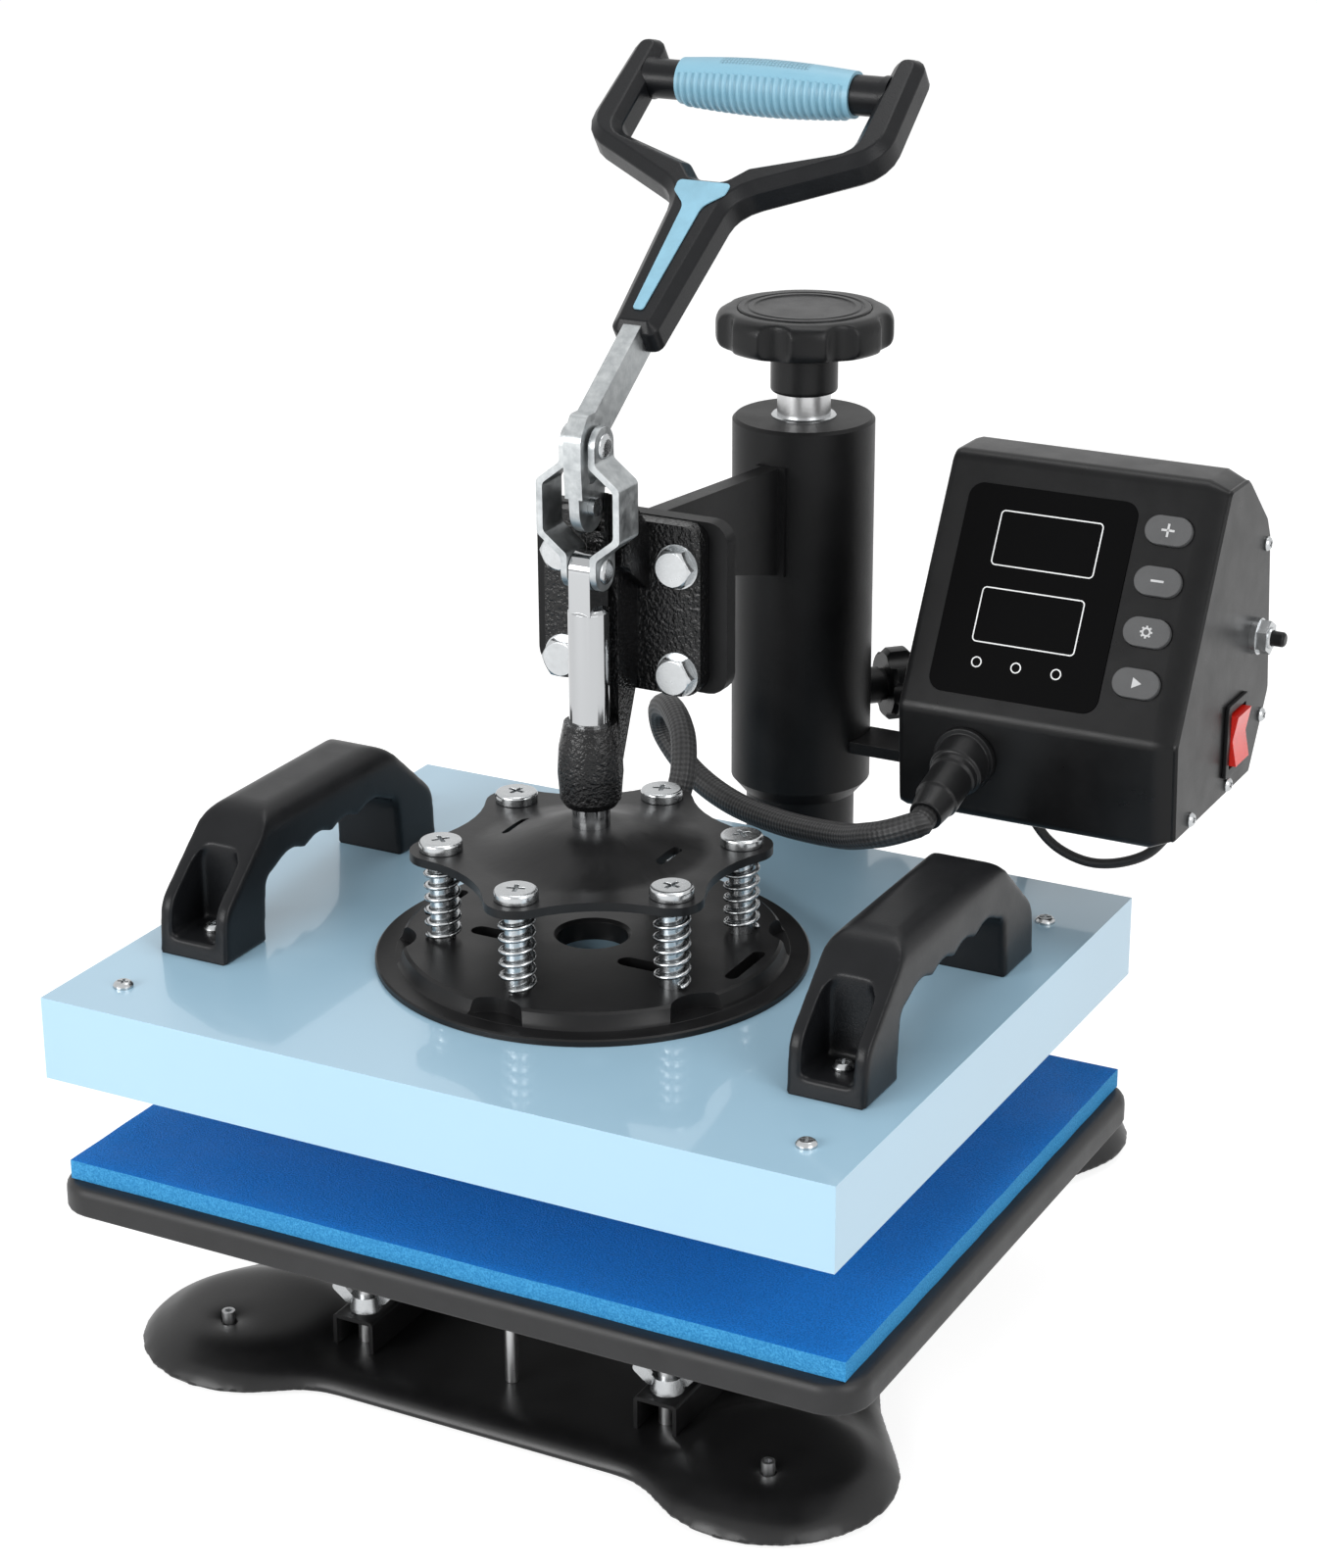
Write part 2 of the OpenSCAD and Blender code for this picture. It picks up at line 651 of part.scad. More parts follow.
cap_depth = 2.5;
module pressure_knob() {
    flutes = 8;
    flute_r = 11;
    color(black) place() difference() {
        rotate_extrude() polygon([[0, hub_z], [hub_d / 2 - 1, hub_z], [hub_d / 2, hub_z + 1],
            [hub_d / 2, knob_z - 3], [hub_d / 2 + 4, knob_z], [knob_d / 2 - 4, knob_z], [knob_d / 2 - 1.2, knob_z + 1.2],
            [knob_d / 2, knob_z + 4], [knob_d / 2, knob_top - 5], [knob_d / 2 - 1.5, knob_top - 1.8],
            [knob_d / 2 - 5, knob_top], [knob_cap_d / 2 + run_gap, knob_top],
            [knob_cap_d / 2 + run_gap, knob_top - cap_depth], [0, knob_top - cap_depth]]);
        translate([0, 0, hub_z - 1]) cylinder(d = thread_d + 2 * run_gap, h = 13);
        for (i = [0:flutes - 1]) rotate(360 * (i + 0.5) / flutes - 62) translate([knob_d / 2 + flute_r - 4, 0, knob_z - 1])
            cylinder(r = flute_r, h = knob_h + 2);
    }
}

module knob_cap() {
    rim = knob_cap_d / 2;
    z = knob_top - cap_depth;
    color(black) place() rotate_extrude() polygon([[0, z], [rim, z], [rim, knob_top], [rim - 0.6, knob_top + 0.6],
        [rim - 3, knob_top + 0.6], [rim - 3.4, knob_top], [rim - 4.6, knob_top], [rim - 5, knob_top + 0.6],
        [rim - 7.5, knob_top + 0.6], [rim - 7.9, knob_top], [0, knob_top]]);
}

lock_angle = 45;
lock_z = sleeve_z0 + 41;
lock_screw_d = 8;
lock_face = sleeve_d / 2 + 6;
module lock_spot() {
    rotate(lock_angle) translate([0, 0, lock_z]) children();
}

module column_sleeve() {
    bore = post_d / 2 + run_gap;
    chamfer = 7;
    color(satin) place() difference() {
        union() {
            rotate_extrude() polygon([[bore, sleeve_z0 - chamfer], [bore + 1.5, sleeve_z0 - chamfer],
                [sleeve_d / 2, sleeve_z0], [sleeve_d / 2, sleeve_z1 - 1.5], [sleeve_d / 2 - 1.5, sleeve_z1],
                [ring_d / 2 + run_gap, sleeve_z1], [ring_d / 2 + run_gap, cap_under], [bore, cap_under]]);
            lock_spot() rod_x(lock_screw_d + 10, sleeve_d / 2 - 3, lock_face);
        }
        lock_spot() rod_x(lock_screw_d + 2 * run_gap, post_d / 2 - 1, lock_face + 1);
    }
}

module lock_knob() {
    lobes = 6;
    head_d = 36;
    head_t = 14;
    neck = 2.5;
    x0 = lock_face + move_gap;
    color(black) place() lock_spot() {
        rod_x(lock_screw_d, post_d / 2 + move_gap, x0 + neck + 1);
        rod_x(lock_screw_d + 8, x0, x0 + neck + 1);
        difference() {
            translate([x0 + neck, 0, 0]) rotate([0, 90, 0]) rotate_extrude()
                polygon([[0, 0], [head_d / 2 - 2, 0], [head_d / 2, 2], [head_d / 2, head_t - 3],
                    [head_d / 2 - 3, head_t], [0, head_t]]);
            for (i = [0:lobes - 1]) rotate([360 * i / lobes, 0, 0]) translate([0, head_d / 2 + 3.5, 0])
                rod_x(14, x0 + neck - 1, x0 + neck + head_t + 1);
        }
    }
}

// Arm from the sleeve to the press head
flange_y = ram_y + joint_back;
flange_z0 = pivot_z - 90.5;
flange_z1 = pivot_z - 12.6;
flange_bolt_x = 28;
flange_bolt_z = [pivot_z - 80, pivot_z - 31];
module sleeve_cut() {
    cylinder(d = sleeve_d + 2 * run_gap, h = sleeve_z1);
}
module flange_holes(y0, y1) {
    for (sx = [-1, 1], z = flange_bolt_z) translate([sx * flange_bolt_x, 0, z]) rod_y(flange_bolt_d + 0.4, y0, y1);
}

module arm_bracket() {
    back = flange_y + arm_flange_t;
    plate = [[-arm_flange_x, flange_z0], [arm_flange_x, flange_z0], [arm_flange_x, flange_z1],
        [-arm_flange_x, flange_z1]];
    flange_h = flange_z1 - flange_z0;
    web_top = flange_z1 - flange_h * 0.07;
    web_low = flange_z1 - flange_h * 0.54;
    heel_top = flange_z1 - flange_h * 0.205;
    heel_low = flange_z1 - flange_h * 0.9;
    heel_y = -sleeve_d / 2 + 8;
    reach = heel_y - back;
    web = [[back - 1, web_low], [back + reach * 0.56, web_low - flange_h * 0.14], [heel_y, heel_low],
        [heel_y, heel_top], [back + reach * 0.1, web_top], [back - 1, web_top]];
    bead = 3;
    color(satin) place() difference() {
        union() {
            translate([0, back, 0]) rotate([90, 0, 0]) linear_extrude(arm_flange_t)
                polygon(rounded(plate, [9, 9, 9, 9], 5));
            across(arm_web_t) polygon(rounded(web, [0.5, 40, 6, 4, 10, 0.5], 4));
            across(arm_web_t + 2 * bead) polygon([[back - 1, web_low], [back + bead, web_low],
                [back + bead, web_top], [back - 1, web_top]]);
            intersection() {
                across(arm_web_t + 2 * bead) polygon([[-sleeve_d / 2 - bead, heel_low + 2], [0, heel_low + 2],
                    [0, heel_top], [-sleeve_d / 2 - bead, heel_top + 1]]);
                cylinder(d = sleeve_d + 2 * bead, h = sleeve_z1);
            }
        }
        sleeve_cut();
        flange_holes(flange_y - 1, back + 1);
    }
}

// Press head casting: flange, web, ram barrel and two ears for the lever pivot
lever_gap = 2.7;
ear_x = 5.2;
barrel_z0 = dome_top + 10;
barrel_h = 38;
barrel_d = 29;
ear_r = pin_d / 2 + 4.5;
module press_bracket() {
    face = flange_y - head_flange_t;
    low = flange_z0 + 0.6;
    high = flange_z1 - 0.4;
    plate = [[-head_flange_x, low], [head_flange_x, low], [head_flange_x, high], [-head_flange_x, high]];
    clear_y = ram_y + link_w / 2 + 3;
    spine = [[ram_y + ram_d / 2 + 2, barrel_z0 + 6], [face + 1, flange_z0 + 10], [face + 1, flange_z1 - 6],
        [clear_y + 4, pivot_z - 16], [clear_y, pivot_z - 24], [clear_y, barrel_z0 + barrel_h]];
    ear = [[ram_y - 1, pivot_z - ear_r + 0.2], [clear_y + 2, pivot_z - 32], [face + 1, flange_z1 - 32],
        [face + 1, flange_z1 - 4], [clear_y + 2, pivot_z + 2], [ram_y - 1, pivot_z + ear_r - 0.2]];
    color(black) place() difference() {
        union() {
            translate([0, flange_y, 0]) rotate([90, 0, 0]) linear_extrude(head_flange_t)
                polygon(rounded(plate, [8, 8, 8, 8], 5));
            across(16) polygon(rounded(spine, [2, 2, 2, 4, 6, 4], 3));
            translate([0, ram_y, barrel_z0]) rotate_extrude() polygon([[0, 0], [barrel_d / 2 - 3, 0],
                [barrel_d / 2 - 1, 3], [barrel_d / 2, barrel_h * 0.4], [barrel_d / 2 - 0.6, barrel_h * 0.7],
                [barrel_d / 2 - 3, barrel_h], [0, barrel_h]]);
            across(2 * ear_x) {
                polygon(rounded(ear, [1, 4, 1, 1, 6, 1], 3));
                translate([ram_y, pivot_z]) circle(r = ear_r);
            }
            intersection() {
                across(28) polygon(rounded(ear, [1, 4, 1, 1, 6, 1], 3));
                translate([-20, clear_y, flange_z0]) cube([40, joint_back, pivot_z - flange_z0 + 20]);
            }
        }
        translate([0, ram_y, barrel_z0 - 1]) cylinder(d = ram_d + 2 * run_gap, h = barrel_h + 2);
        translate([0, ram_y, barrel_z0 + barrel_h]) cylinder(d = ram_d + 2, h = low_pin_z - barrel_z0);
        translate([-lever_gap, ram_y - 2 * ear_r, pivot_z - lever_hub_r - 3])
            cube([2 * lever_gap, 2 * ear_r + lever_hub_r + 3, 3 * lever_hub_r]);
        translate([0, ram_y, pivot_z]) rod_x(pin_d + run_gap, -ear_x - 1, ear_x + 1);
        flange_holes(face - 1, flange_y + 1);
    }
}

module bracket_bolts() {
    head = flange_bolt_d * 0.55;
    nut = flange_bolt_d * 0.8;
    collar = flange_bolt_d * 0.15;
    flats = flange_bolt_d * 1.6;
    front = flange_y - head_flange_t;
    back = flange_y + arm_flange_t;
    color(zinc) place() for (sx = [-1, 1], z = flange_bolt_z) translate([sx * flange_bolt_x, 0, z]) {
        translate([0, front - collar, 0]) rotate([90, 0, 0]) hex_head(flats, head);
        rod_y(flats * 1.25, front - collar, front);
        rod_y(flange_bolt_d, front - collar - 1, back + nut + 2);
        translate([0, back + nut, 0]) rotate([90, 0, 0]) hexagon(flats, nut);
    }
}

module pivot_pin() {
    color(zinc) place() translate([0, ram_y, pivot_z]) rod_x(pin_d, -ear_x, ear_x);
}

// Lever: a thin eye on the pivot, a window for the crank pin, then the leaning bar
lever_hub_r = 11;
lever_half = 12.5;
window_r = crank_pin_d / 2 + 2 * move_gap;
socket_depth = 32;
stem_p = 53;
module lever_frame() {
    translate([0, ram_y, bend_z]) rotate([90 - lever_lean, 0, 0]) children();
}
// Path of the crank pin as the lever sees it: in along one side and out along the other
link_swing = asin(crank * sin(lever_travel) / link_len);
ram_travel = crank - crank * cos(lever_travel) + sqrt(pow(link_len, 2) - pow(crank * sin(lever_travel), 2))
    - link_len;
function pin_seen(t) =
    let (a = lever_travel * t, f = link_swing * t)
    let (y = -link_len * sin(f), z = crank - ram_travel * t - link_len * (1 - cos(f)))
    [y * cos(a) + z * sin(a), -y * sin(a) + z * cos(a)];

module lever_bar() {
    blade = rounded([[-lever_hub_r, -1], [lever_hub_r, -1], [lever_half, crank - 8], [lever_half, crank + 5],
        [bar_w / 2 + 1, crank + 14], [-bar_w / 2 + 2, crank + 14], [-lever_half, crank + 5], [-lever_half, crank - 8]],
        [0.5, 0.5, 6, 6, 3, 3, 6, 6], 4);
    steps = 24;
    path = [for (i = [0:steps - 1]) pin_seen(i / steps)];
    rim = inset(path, window_r);
    window = concat(corner(rim[steps - 1], rim[0], rim[1], window_r, 8), [for (i = [1:steps - 1]) rim[i]]);
    color(zinc) place() difference() {
        union() {
            translate([0, ram_y, pivot_z]) across(bar_t) polygon(blade);
            translate([0, ram_y, pivot_z]) across(bar_t) circle(r = lever_hub_r);
            translate([0, ram_y, pivot_z]) across(bar_t) translate([0, bend_z - pivot_z])
                rotate(90 - lever_lean) translate([-2, -bar_w / 2]) square([stem_p + socket_depth + 2, bar_w]);
        }
        translate([0, ram_y, pivot_z]) {
            across(bar_t + 2) polygon(window);
            rod_x(pin_d + 2 * run_gap, -bar_t, bar_t);
            for (sx = [-1, 1]) translate([sx * (lever_gap - move_gap), 0, 0]) rod_x(2 * lever_half + 2 * move_gap,
                min(0, sx * bar_t), max(0, sx * bar_t));
        }
    }
}

// Handle loop: a stem that splits into two arms, drawn in the leaning plane
apex_p = 147;
elbow_p = 177;
arm_in = loop_x - 15.5;
end_p = grip_reach + 19;
module handle_yoke() {
    half = [[11, stem_p], [14.5, elbow_p - 42], [loop_x + 2, elbow_p - 10], [loop_x - 1, end_p],
        [arm_in, end_p], [arm_in, elbow_p - 8], [14.5, apex_p + 6.5], [6.5, apex_p - 2.5]];
    line = rounded(concat(half, mirrored(half)), [5, 18, 20, 7, 6.5, 9, 6, 5, 5, 6, 9, 6.5, 7, 20, 18, 5], 4);
    color(black) place() lever_frame() difference() {
        union() {
            translate([0, 0, -loop_t / 2]) linear_extrude(loop_t) polygon(line);
            for (sx = [-1, 1]) translate([0, grip_reach, 0])
                rod_x(stub_d, min(sx * grip_len / 2, sx * (arm_in + 3)), max(sx * grip_len / 2, sx * (arm_in + 3)));
        }
        translate([-bar_t / 2 - run_gap, stem_p - 1, -bar_w / 2 - run_gap])
            cube([bar_t + 2 * run_gap, socket_depth + 1 + run_gap, bar_w + 2 * run_gap]);
    }
}

inlay_t = 0.9;
module handle_inlay() {
    half = [[2.6, stem_p + 10], [4.6, apex_p - 22], [12.5, apex_p - 14], [13, apex_p - 7.5]];
    color(pale) place() lever_frame() translate([0, 0, loop_t / 2]) linear_extrude(inlay_t)
        polygon(rounded(concat(half, mirrored(half)), [1.5, 8, 2, 2, 2, 2, 8, 1.5], 3));
}

module handle_grip() {
    ribs = 22;
    rib_h = 0.9;
    rib_turn = -75;
    end_r = grip_d / 2 - 2;
    half = grip_len / 2;
    function grip_r(t) = end_r + (grip_d / 2 - end_r) * cos(90 * t);
    body = [for (i = [-12:12]) [grip_r(i / 12), half * i / 12]];
    ribbed = [for (i = [0:4 * ribs]) let (t = (2 * i / (4 * ribs) - 1) * 0.94)
        [grip_r(t) - 1 + rib_h * (i % 4 == 1 || i % 4 == 2 ? 1 : 0) + rib_h, half * t]];
    color(pale) place() lever_frame() translate([0, grip_reach, 0]) rotate([0, 90, 0]) {
        rotate_extrude() polygon(concat([[0, -half]], body, [[0, half]]));
        intersection() {
            rotate_extrude() polygon(concat([[0, -half * 0.94]], ribbed, [[0, half * 0.94]]));
            rotate(rib_turn) translate([2, -grip_d, -half]) cube([grip_d, 2 * grip_d, 2 * half]);
        }
    }
}

// Links: bowed strips from the ram's tang to the crank pin
link_x0 = ear_x + move_gap;
link_bow = 11.5;
module link(side) {
    x0 = link_x0;
    x1 = x0 + link_t;
    top = link_len + link_w / 2;
    low = -link_w / 2;
    bow0 = 17;
    bow1 = link_len - 17;
    step = link_bow * 0.78;
    slim = 1.4;
    strip = [[x0, low], [x1, low], [x1, bow0 - step - slim], [x1 + link_bow, bow0 - slim],
        [x1 + link_bow, bow1 + slim], [x1, bow1 + step + slim], [x1, top], [x0, top], [x0, bow1 + step],
        [x0 + link_bow, bow1], [x0 + link_bow, bow0], [x0, bow0 - step]];
    color(zinc) place() translate([0, ram_y, low_pin_z]) mirror([side < 0 ? 1 : 0, 0, 0]) difference() {
        intersection() {
            rotate([90, 0, 0]) linear_extrude(link_w + 2, center = true)
                polygon(rounded(strip, [0.3, 0.3, 3, 3, 3, 3, 0.3, 0.3, 3, 3, 3, 3], 3));
            across(80) {
                translate([-link_w / 2, 0]) square([link_w, link_len]);
                circle(d = link_w);
                translate([0, link_len]) circle(d = link_w);
            }
        }
        rod_x(pin_d + run_gap, 0, x1 + 1);
        translate([0, 0, link_len]) rod_x(crank_pin_d + run_gap, 0, x1 + 1);
    }
}
module link_left() { link(-1); }
module link_right() { link(1); }

module link_pins() {
    x1 = link_x0 + link_t;
    head = 2;
    color(zinc) place() translate([0, ram_y, low_pin_z]) {
        rod_x(pin_d, -x1, x1);
        translate([0, 0, link_len]) rod_x(crank_pin_d, -x1, x1);
        for (sx = [-1, 1], z = [0, link_len]) translate([0, 0, z]) mirror([sx < 0 ? 1 : 0, 0, 0])
            translate([x1, 0, 0]) rotate([0, 90, 0]) rotate_extrude()
                polygon([[0, 0], [pin_d / 2 + 1.5, 0], [pin_d / 2 + 1.5, head * 0.4], [pin_d / 2 - 1, head], [0, head]]);
    }
}

// Ram, spider and springs
spigot_d = 12;
module ram() {
    tang = 16;
    foot = 9;
    color(zinc) place() translate([0, ram_y, 0]) difference() {
        union() {
            rotate_extrude() polygon([[0, dome_top - spider_t - 5], [spigot_d / 2, dome_top - spider_t - 5],
                [spigot_d / 2, dome_top], [ram_d / 2 - 0.6, dome_top], [ram_d / 2 - 0.6, dome_top + foot],
                [ram_d / 2, dome_top + foot + 0.6], [ram_d / 2, ram_shoulder - 1.5],
                [ram_d / 2 - 1.5, ram_shoulder], [0, ram_shoulder]]);
            translate([0, 0, low_pin_z]) across(2 * ear_x) {
                circle(d = tang);
                translate([-tang / 2, -low_pin_z + ram_shoulder - 2]) square([tang, low_pin_z - ram_shoulder + 2]);
            }
        }
        translate([0, 0, low_pin_z]) rod_x(pin_d + 2 * run_gap, -ear_x - 1, ear_x + 1);
    }
}

module bolt_circle() {
    translate([0, ram_y, 0]) for (i = [0:5]) rotate(30 + 60 * i) translate([spider_r, 0, 0]) children();
}
// Six lobes on the bolt circle, joined by hollow flanks
function star_line(lobe, dip, n) =
    let (reach = spider_r * cos(30), half = spider_r / 2)
    let (hollow = (half * half + dip * dip - lobe * lobe) / (2 * (lobe - dip)))
    let (far = reach + dip + hollow, swing = atan2(far * sin(30), far * cos(30) - spider_r))
    no_twins([for (i = [0:5]) let (a = 30 + 60 * i) each concat(
        arc(spider_r * [cos(a), sin(a)], lobe, a - swing, a + swing, n),
        arc(far * [cos(a + 30), sin(a + 30)], hollow, a + swing + 180, a + 240 - swing, n))]);

module slot(length, width, h) {
    linear_extrude(h) {
        square([width, length - width], center = true);
        for (sy = [-1, 1]) translate([0, sy * (length - width) / 2]) circle(d = width);
    }
}

spider_slot_x = 38.5;
module spider_plate() {
    far = spider_r + lobe_r + 5;
    skirt = spider_r - 12;
    crown = spigot_d / 2 + 6;
    swell = [[1, 0], [0.86, 0.06], [0.66, 0.26], [0.42, 0.6], [0.2, 0.88], [0, 1]];
    top = [for (p = swell) [crown + (skirt - crown) * p[0], spider_top + spider_dome * p[1]]];
    under = [for (i = [len(top) - 1:-1:0]) top[i] - [0, spider_t]];
    sheet = concat([[0, dome_top - spider_t]], under, [[far, spider_z], [far, spider_top]], top, [[0, dome_top]]);
    color(black) place() difference() {
        translate([0, ram_y, 0]) intersection() {
            translate([0, 0, spider_z - 1]) linear_extrude(dome_top - spider_z + 2)
                polygon(star_line(lobe_r, flank_dip, 8));
            rotate_extrude() polygon(sheet);
        }
        translate([0, ram_y, spider_z]) cylinder(d = spigot_d + 2 * run_gap, h = dome_top - spider_z + 1);
        bolt_circle() translate([0, 0, spider_z - 1]) cylinder(d = shoulder_d + 2 * move_gap, h = spider_t + 2);
        for (sx = [-1, 1]) translate([sx * spider_slot_x, ram_y, spider_z]) slot(20, 4, dome_top - spider_z);
    }
}

spring_mean = (spring_d - spring_wire) / 2;
spring_rings = 8;
// Centre line of a spring: an even helix
spring_rise = spring_h - spring_wire - 2 * move_gap;
function spring_at(t) = [spring_mean * cos(360 * t), spring_mean * sin(360 * t),
    spring_wire / 2 + move_gap + spring_rise * t / spring_coils];
spring_path = [for (i = [0:spring_coils * spring_rings]) spring_at(i / spring_rings)];
spring_gap = min([for (i = [0:len(spring_path) - 1 - spring_rings / 2])
    for (j = [i + spring_rings / 2:len(spring_path) - 1]) norm(spring_path[i] - spring_path[j])]) - spring_wire;
echo(least_gap_between_spring_turns_mm = spring_gap);
module press_springs() {
    color(steel) place() bolt_circle() translate([0, 0, seat_z])
        tube(spring_path, spring_wire / 2, 6, [1, 0, 0]);
}

// Heated platen
head_lift = 0.1;
module shoulder_bolts() {
    head_r = shoulder_d * 0.88;
    head_z = spider_top + head_lift;
    head = 4.9;
    top = head_z + head;
    color(zinc) place() bolt_circle() difference() {
        rotate_extrude() polygon([[0, disc_top], [shoulder_d / 2, disc_top], [shoulder_d / 2, head_z],
            [head_r, head_z], [head_r, top - 1.6], [head_r - 0.5, top - 0.6], [head_r - 1.8, top], [0, top]]);
        translate([0, 0, top]) cross_slot(8, 1.8, 2);
    }
}

notch_z = disc_top + 0.1;
module mount_disc() {
    eye = 31.6;
    rim_r = disc_d / 2;
    step_r = rim_r - 12;
    notch_r = 15.5;
    notch_at = step_r - 6.5 + notch_r;
    color(black) place() difference() {
        translate([0, ram_y, 0]) rotate_extrude() polygon([[eye / 2, cover_z1], [rim_r, cover_z1],
            [rim_r, disc_top - 0.6], [rim_r - 0.8, disc_top], [step_r + 3, disc_top], [step_r + 1.5, disc_top + 1.5],
            [step_r, seat_z - 1], [step_r - 1.5, seat_z], [eye / 2 + 1.5, seat_z], [eye / 2, seat_z - 1.5]]);
        bolt_circle() translate([notch_at - spider_r, 0, notch_z]) cylinder(r = notch_r, h = disc_rise + 1);
        bolt_circle() translate([0, 0, disc_top]) cylinder(d = shoulder_d + 2 * run_gap, h = disc_rise + 1);
        for (sx = [-1, 1]) translate([0, ram_y, disc_top]) {
            translate([sx * (step_r - 9), 0, 0]) slot(32, 6, disc_rise + 1);
            translate([sx * 37, -20, 0]) rotate(90) slot(26, 9, disc_rise + 1);
        }
    }
}

heat_gap = 0.5;
module platen_cover() {
    color(sky) place() translate([0, cover_y, cover_z0]) difference() {
        translate([-cover_w / 2, -cover_d / 2, 0]) cube([cover_w, cover_d, cover_h]);
        translate([-cover_w / 2 + cover_t, -cover_d / 2 + cover_t, -1])
            cube([cover_w - 2 * cover_t, cover_d - 2 * cover_t, cover_h - cover_t + 1]);
        cover_spots() cylinder(d = 4.4, h = cover_h + 1);
        for (sx = [-1, 1], sy = [-1, 1]) translate([sx * grab_x, -cover_shift + sy * grab_screw_y + grab_mid, 0])
            cylinder(d = 5.4, h = cover_h + 1);
    }
}

screw_inset_x = 25;
screw_inset_front = 26;
screw_inset_rear = 44.5;
module cover_spots() {
    for (sx = [-1, 1], y = [-cover_d / 2 + screw_inset_front, cover_d / 2 - screw_inset_rear])
        translate([sx * (cover_w / 2 - screw_inset_x), y, 0]) children();
}

lining = cover_t + heat_gap;
module heat_plate() {
    color("#c3c6c8") place() translate([0, cover_y, heat_z]) difference() {
        translate([-cover_w / 2 + lining, -cover_d / 2 + lining, 0])
            cube([cover_w - 2 * lining, cover_d - 2 * lining, heat_t]);
        cover_spots() translate([0, 0, heat_t - 6]) cylinder(d = 4.2, h = 7);
    }
}

module insulation() {
    z0 = heat_z + heat_t;
    color("#e8e2d2") place() translate([0, cover_y, z0]) difference() {
        translate([-cover_w / 2 + lining, -cover_d / 2 + lining, 0])
            cube([cover_w - 2 * lining, cover_d - 2 * lining, cover_z1 - cover_t - z0]);
        cover_spots() translate([0, 0, -1]) cylinder(d = 8, h = cover_h);
        for (sx = [-1, 1], sy = [-1, 1]) translate([sx * grab_x, -cover_shift + sy * grab_screw_y + grab_mid, 0])
            cylinder(d = 8, h = cover_h);
    }
}

grab_mid = 2.5;
grab_screw_y = grab_len / 2 - 17;
module cover_screws() {
    plate_bite = 5;
    color(zinc) place() {
        translate([0, cover_y, 0]) cover_spots() {
            translate([0, 0, cover_z1]) pan_head(9, 2.6);
            translate([0, 0, heat_z + heat_t - plate_bite])
                cylinder(d = 4, h = cover_z1 - heat_z - heat_t + plate_bite + 0.5);
        }
        for (sx = [-1, 1], sy = [-1, 1]) translate([sx * grab_x, ram_y + grab_mid + sy * grab_screw_y, 0]) {
            translate([0, 0, cover_z1 + grab_floor]) pan_head(9.6, 3);
            translate([0, 0, cover_z1 - 8]) cylinder(d = 5, h = grab_floor + 8.5);
        }
    }
}

// Grab handles: a bowed bar with finger hollows beneath and an arched screw pocket in each end
grab_floor = 8;
module arch(width, h, depth) {
    rotate([90, 0, 0]) linear_extrude(depth, center = true) {
        translate([-width / 2, 0]) square([width, h - width / 2]);
        translate([0, h - width / 2]) circle(d = width);
    }
}
module grab(side) {
    half = grab_len / 2;
    foot = 32;
    under = grab_h * 0.55;
    hip = [half - 1.5, grab_h * 0.4];
    crown = [half - 42, grab_h];
    fingers = 4;
    span = grab_len - 2 * foot - 24;
    hollows = [for (i = [0:24]) [span / 2 - span * i / 24, under + 3.2 * abs(sin(180 * fingers * i / 24))]];
    outline = concat(
        [[half - foot, 0], [half, 0]],
        corner([half, 0], hip, crown, 16, 5),
        corner(hip, crown, [-half, grab_h], 22, 5),
        corner([half, grab_h], [-crown.x, crown.y], [-hip.x, hip.y], 22, 5),
        corner([-crown.x, crown.y], [-hip.x, hip.y], [-half, 0], 16, 5),
        [[-half, 0], [-half + foot, 0]],
        corner([-half + foot, 0], [-half + foot + 3, under - 2], [0, under], 6, 4),
        [for (i = [len(hollows) - 1:-1:0]) hollows[i]],
        corner([0, under], [half - foot - 3, under - 2], [half - foot, 0], 6, 4));
    pocket = 36;
    pocket_w = grab_w - 13;
    soft = 10;
    section = [[-grab_w / 2, 0], [grab_w / 2, 0], [grab_w / 2, grab_h], [-grab_w / 2, grab_h]];
    color(black) place() translate([side * grab_x, ram_y + grab_mid, cover_z1]) difference() {
        intersection() {
            across(grab_w) polygon(outline);
            rotate([90, 0, 0]) linear_extrude(grab_len + 2, center = true)
                polygon(rounded(section, [1, 1, soft, soft], 5));
        }
        for (sy = [-1, 1]) translate([0, sy * grab_screw_y, 0]) {
            translate([0, 0, -1]) cylinder(d = 5.4, h = grab_floor + 2);
            translate([0, sy * pocket / 2 - sy * 9, grab_floor]) arch(pocket_w, grab_h * 0.66, pocket);
        }
    }
}
module handle_left() { grab(-1); }
module handle_right() { grab(1); }

gland_spot = [-5, ram_y + 88];
gland_h = 12;
module cable_gland() {
    color(black) place() translate([gland_spot[0], gland_spot[1], notch_z]) rotate_extrude()
        polygon([[0, 0], [7.5, 0], [7.5, 3], [7.1, 4], [7.1, gland_h - 2], [cable_d / 2 + 0.5, gland_h], [0, gland_h]]);
}

// Control box, profile in (forward, up)
box_x1 = box_x0 + box_w;
panel_t = 2;
knee_y = 95;
knee_z = box_z0 + 50;
face_len = 119.5;
face_dir = [-sin(face_lean), cos(face_lean)];
face_top = [knee_y, knee_z] + face_len * face_dir;
box_line = rounded([[92, box_z0], [knee_y, knee_z], face_top, [9, face_top[1] - 0.5], [-21, face_top[1] - 27],
    [-27, face_top[1] - 38], [-37, knee_z - 12], [-13, box_z0]], [5, 10, 8, 12, 10, 10, 10, 5], 4);
bevel_x = 9;
bevel_in = 4;
module box_loft(rings) {
    rotate([90, 0, -90]) loft([for (s = rings) level(inset(box_line, s[0]), s[1])]);
}
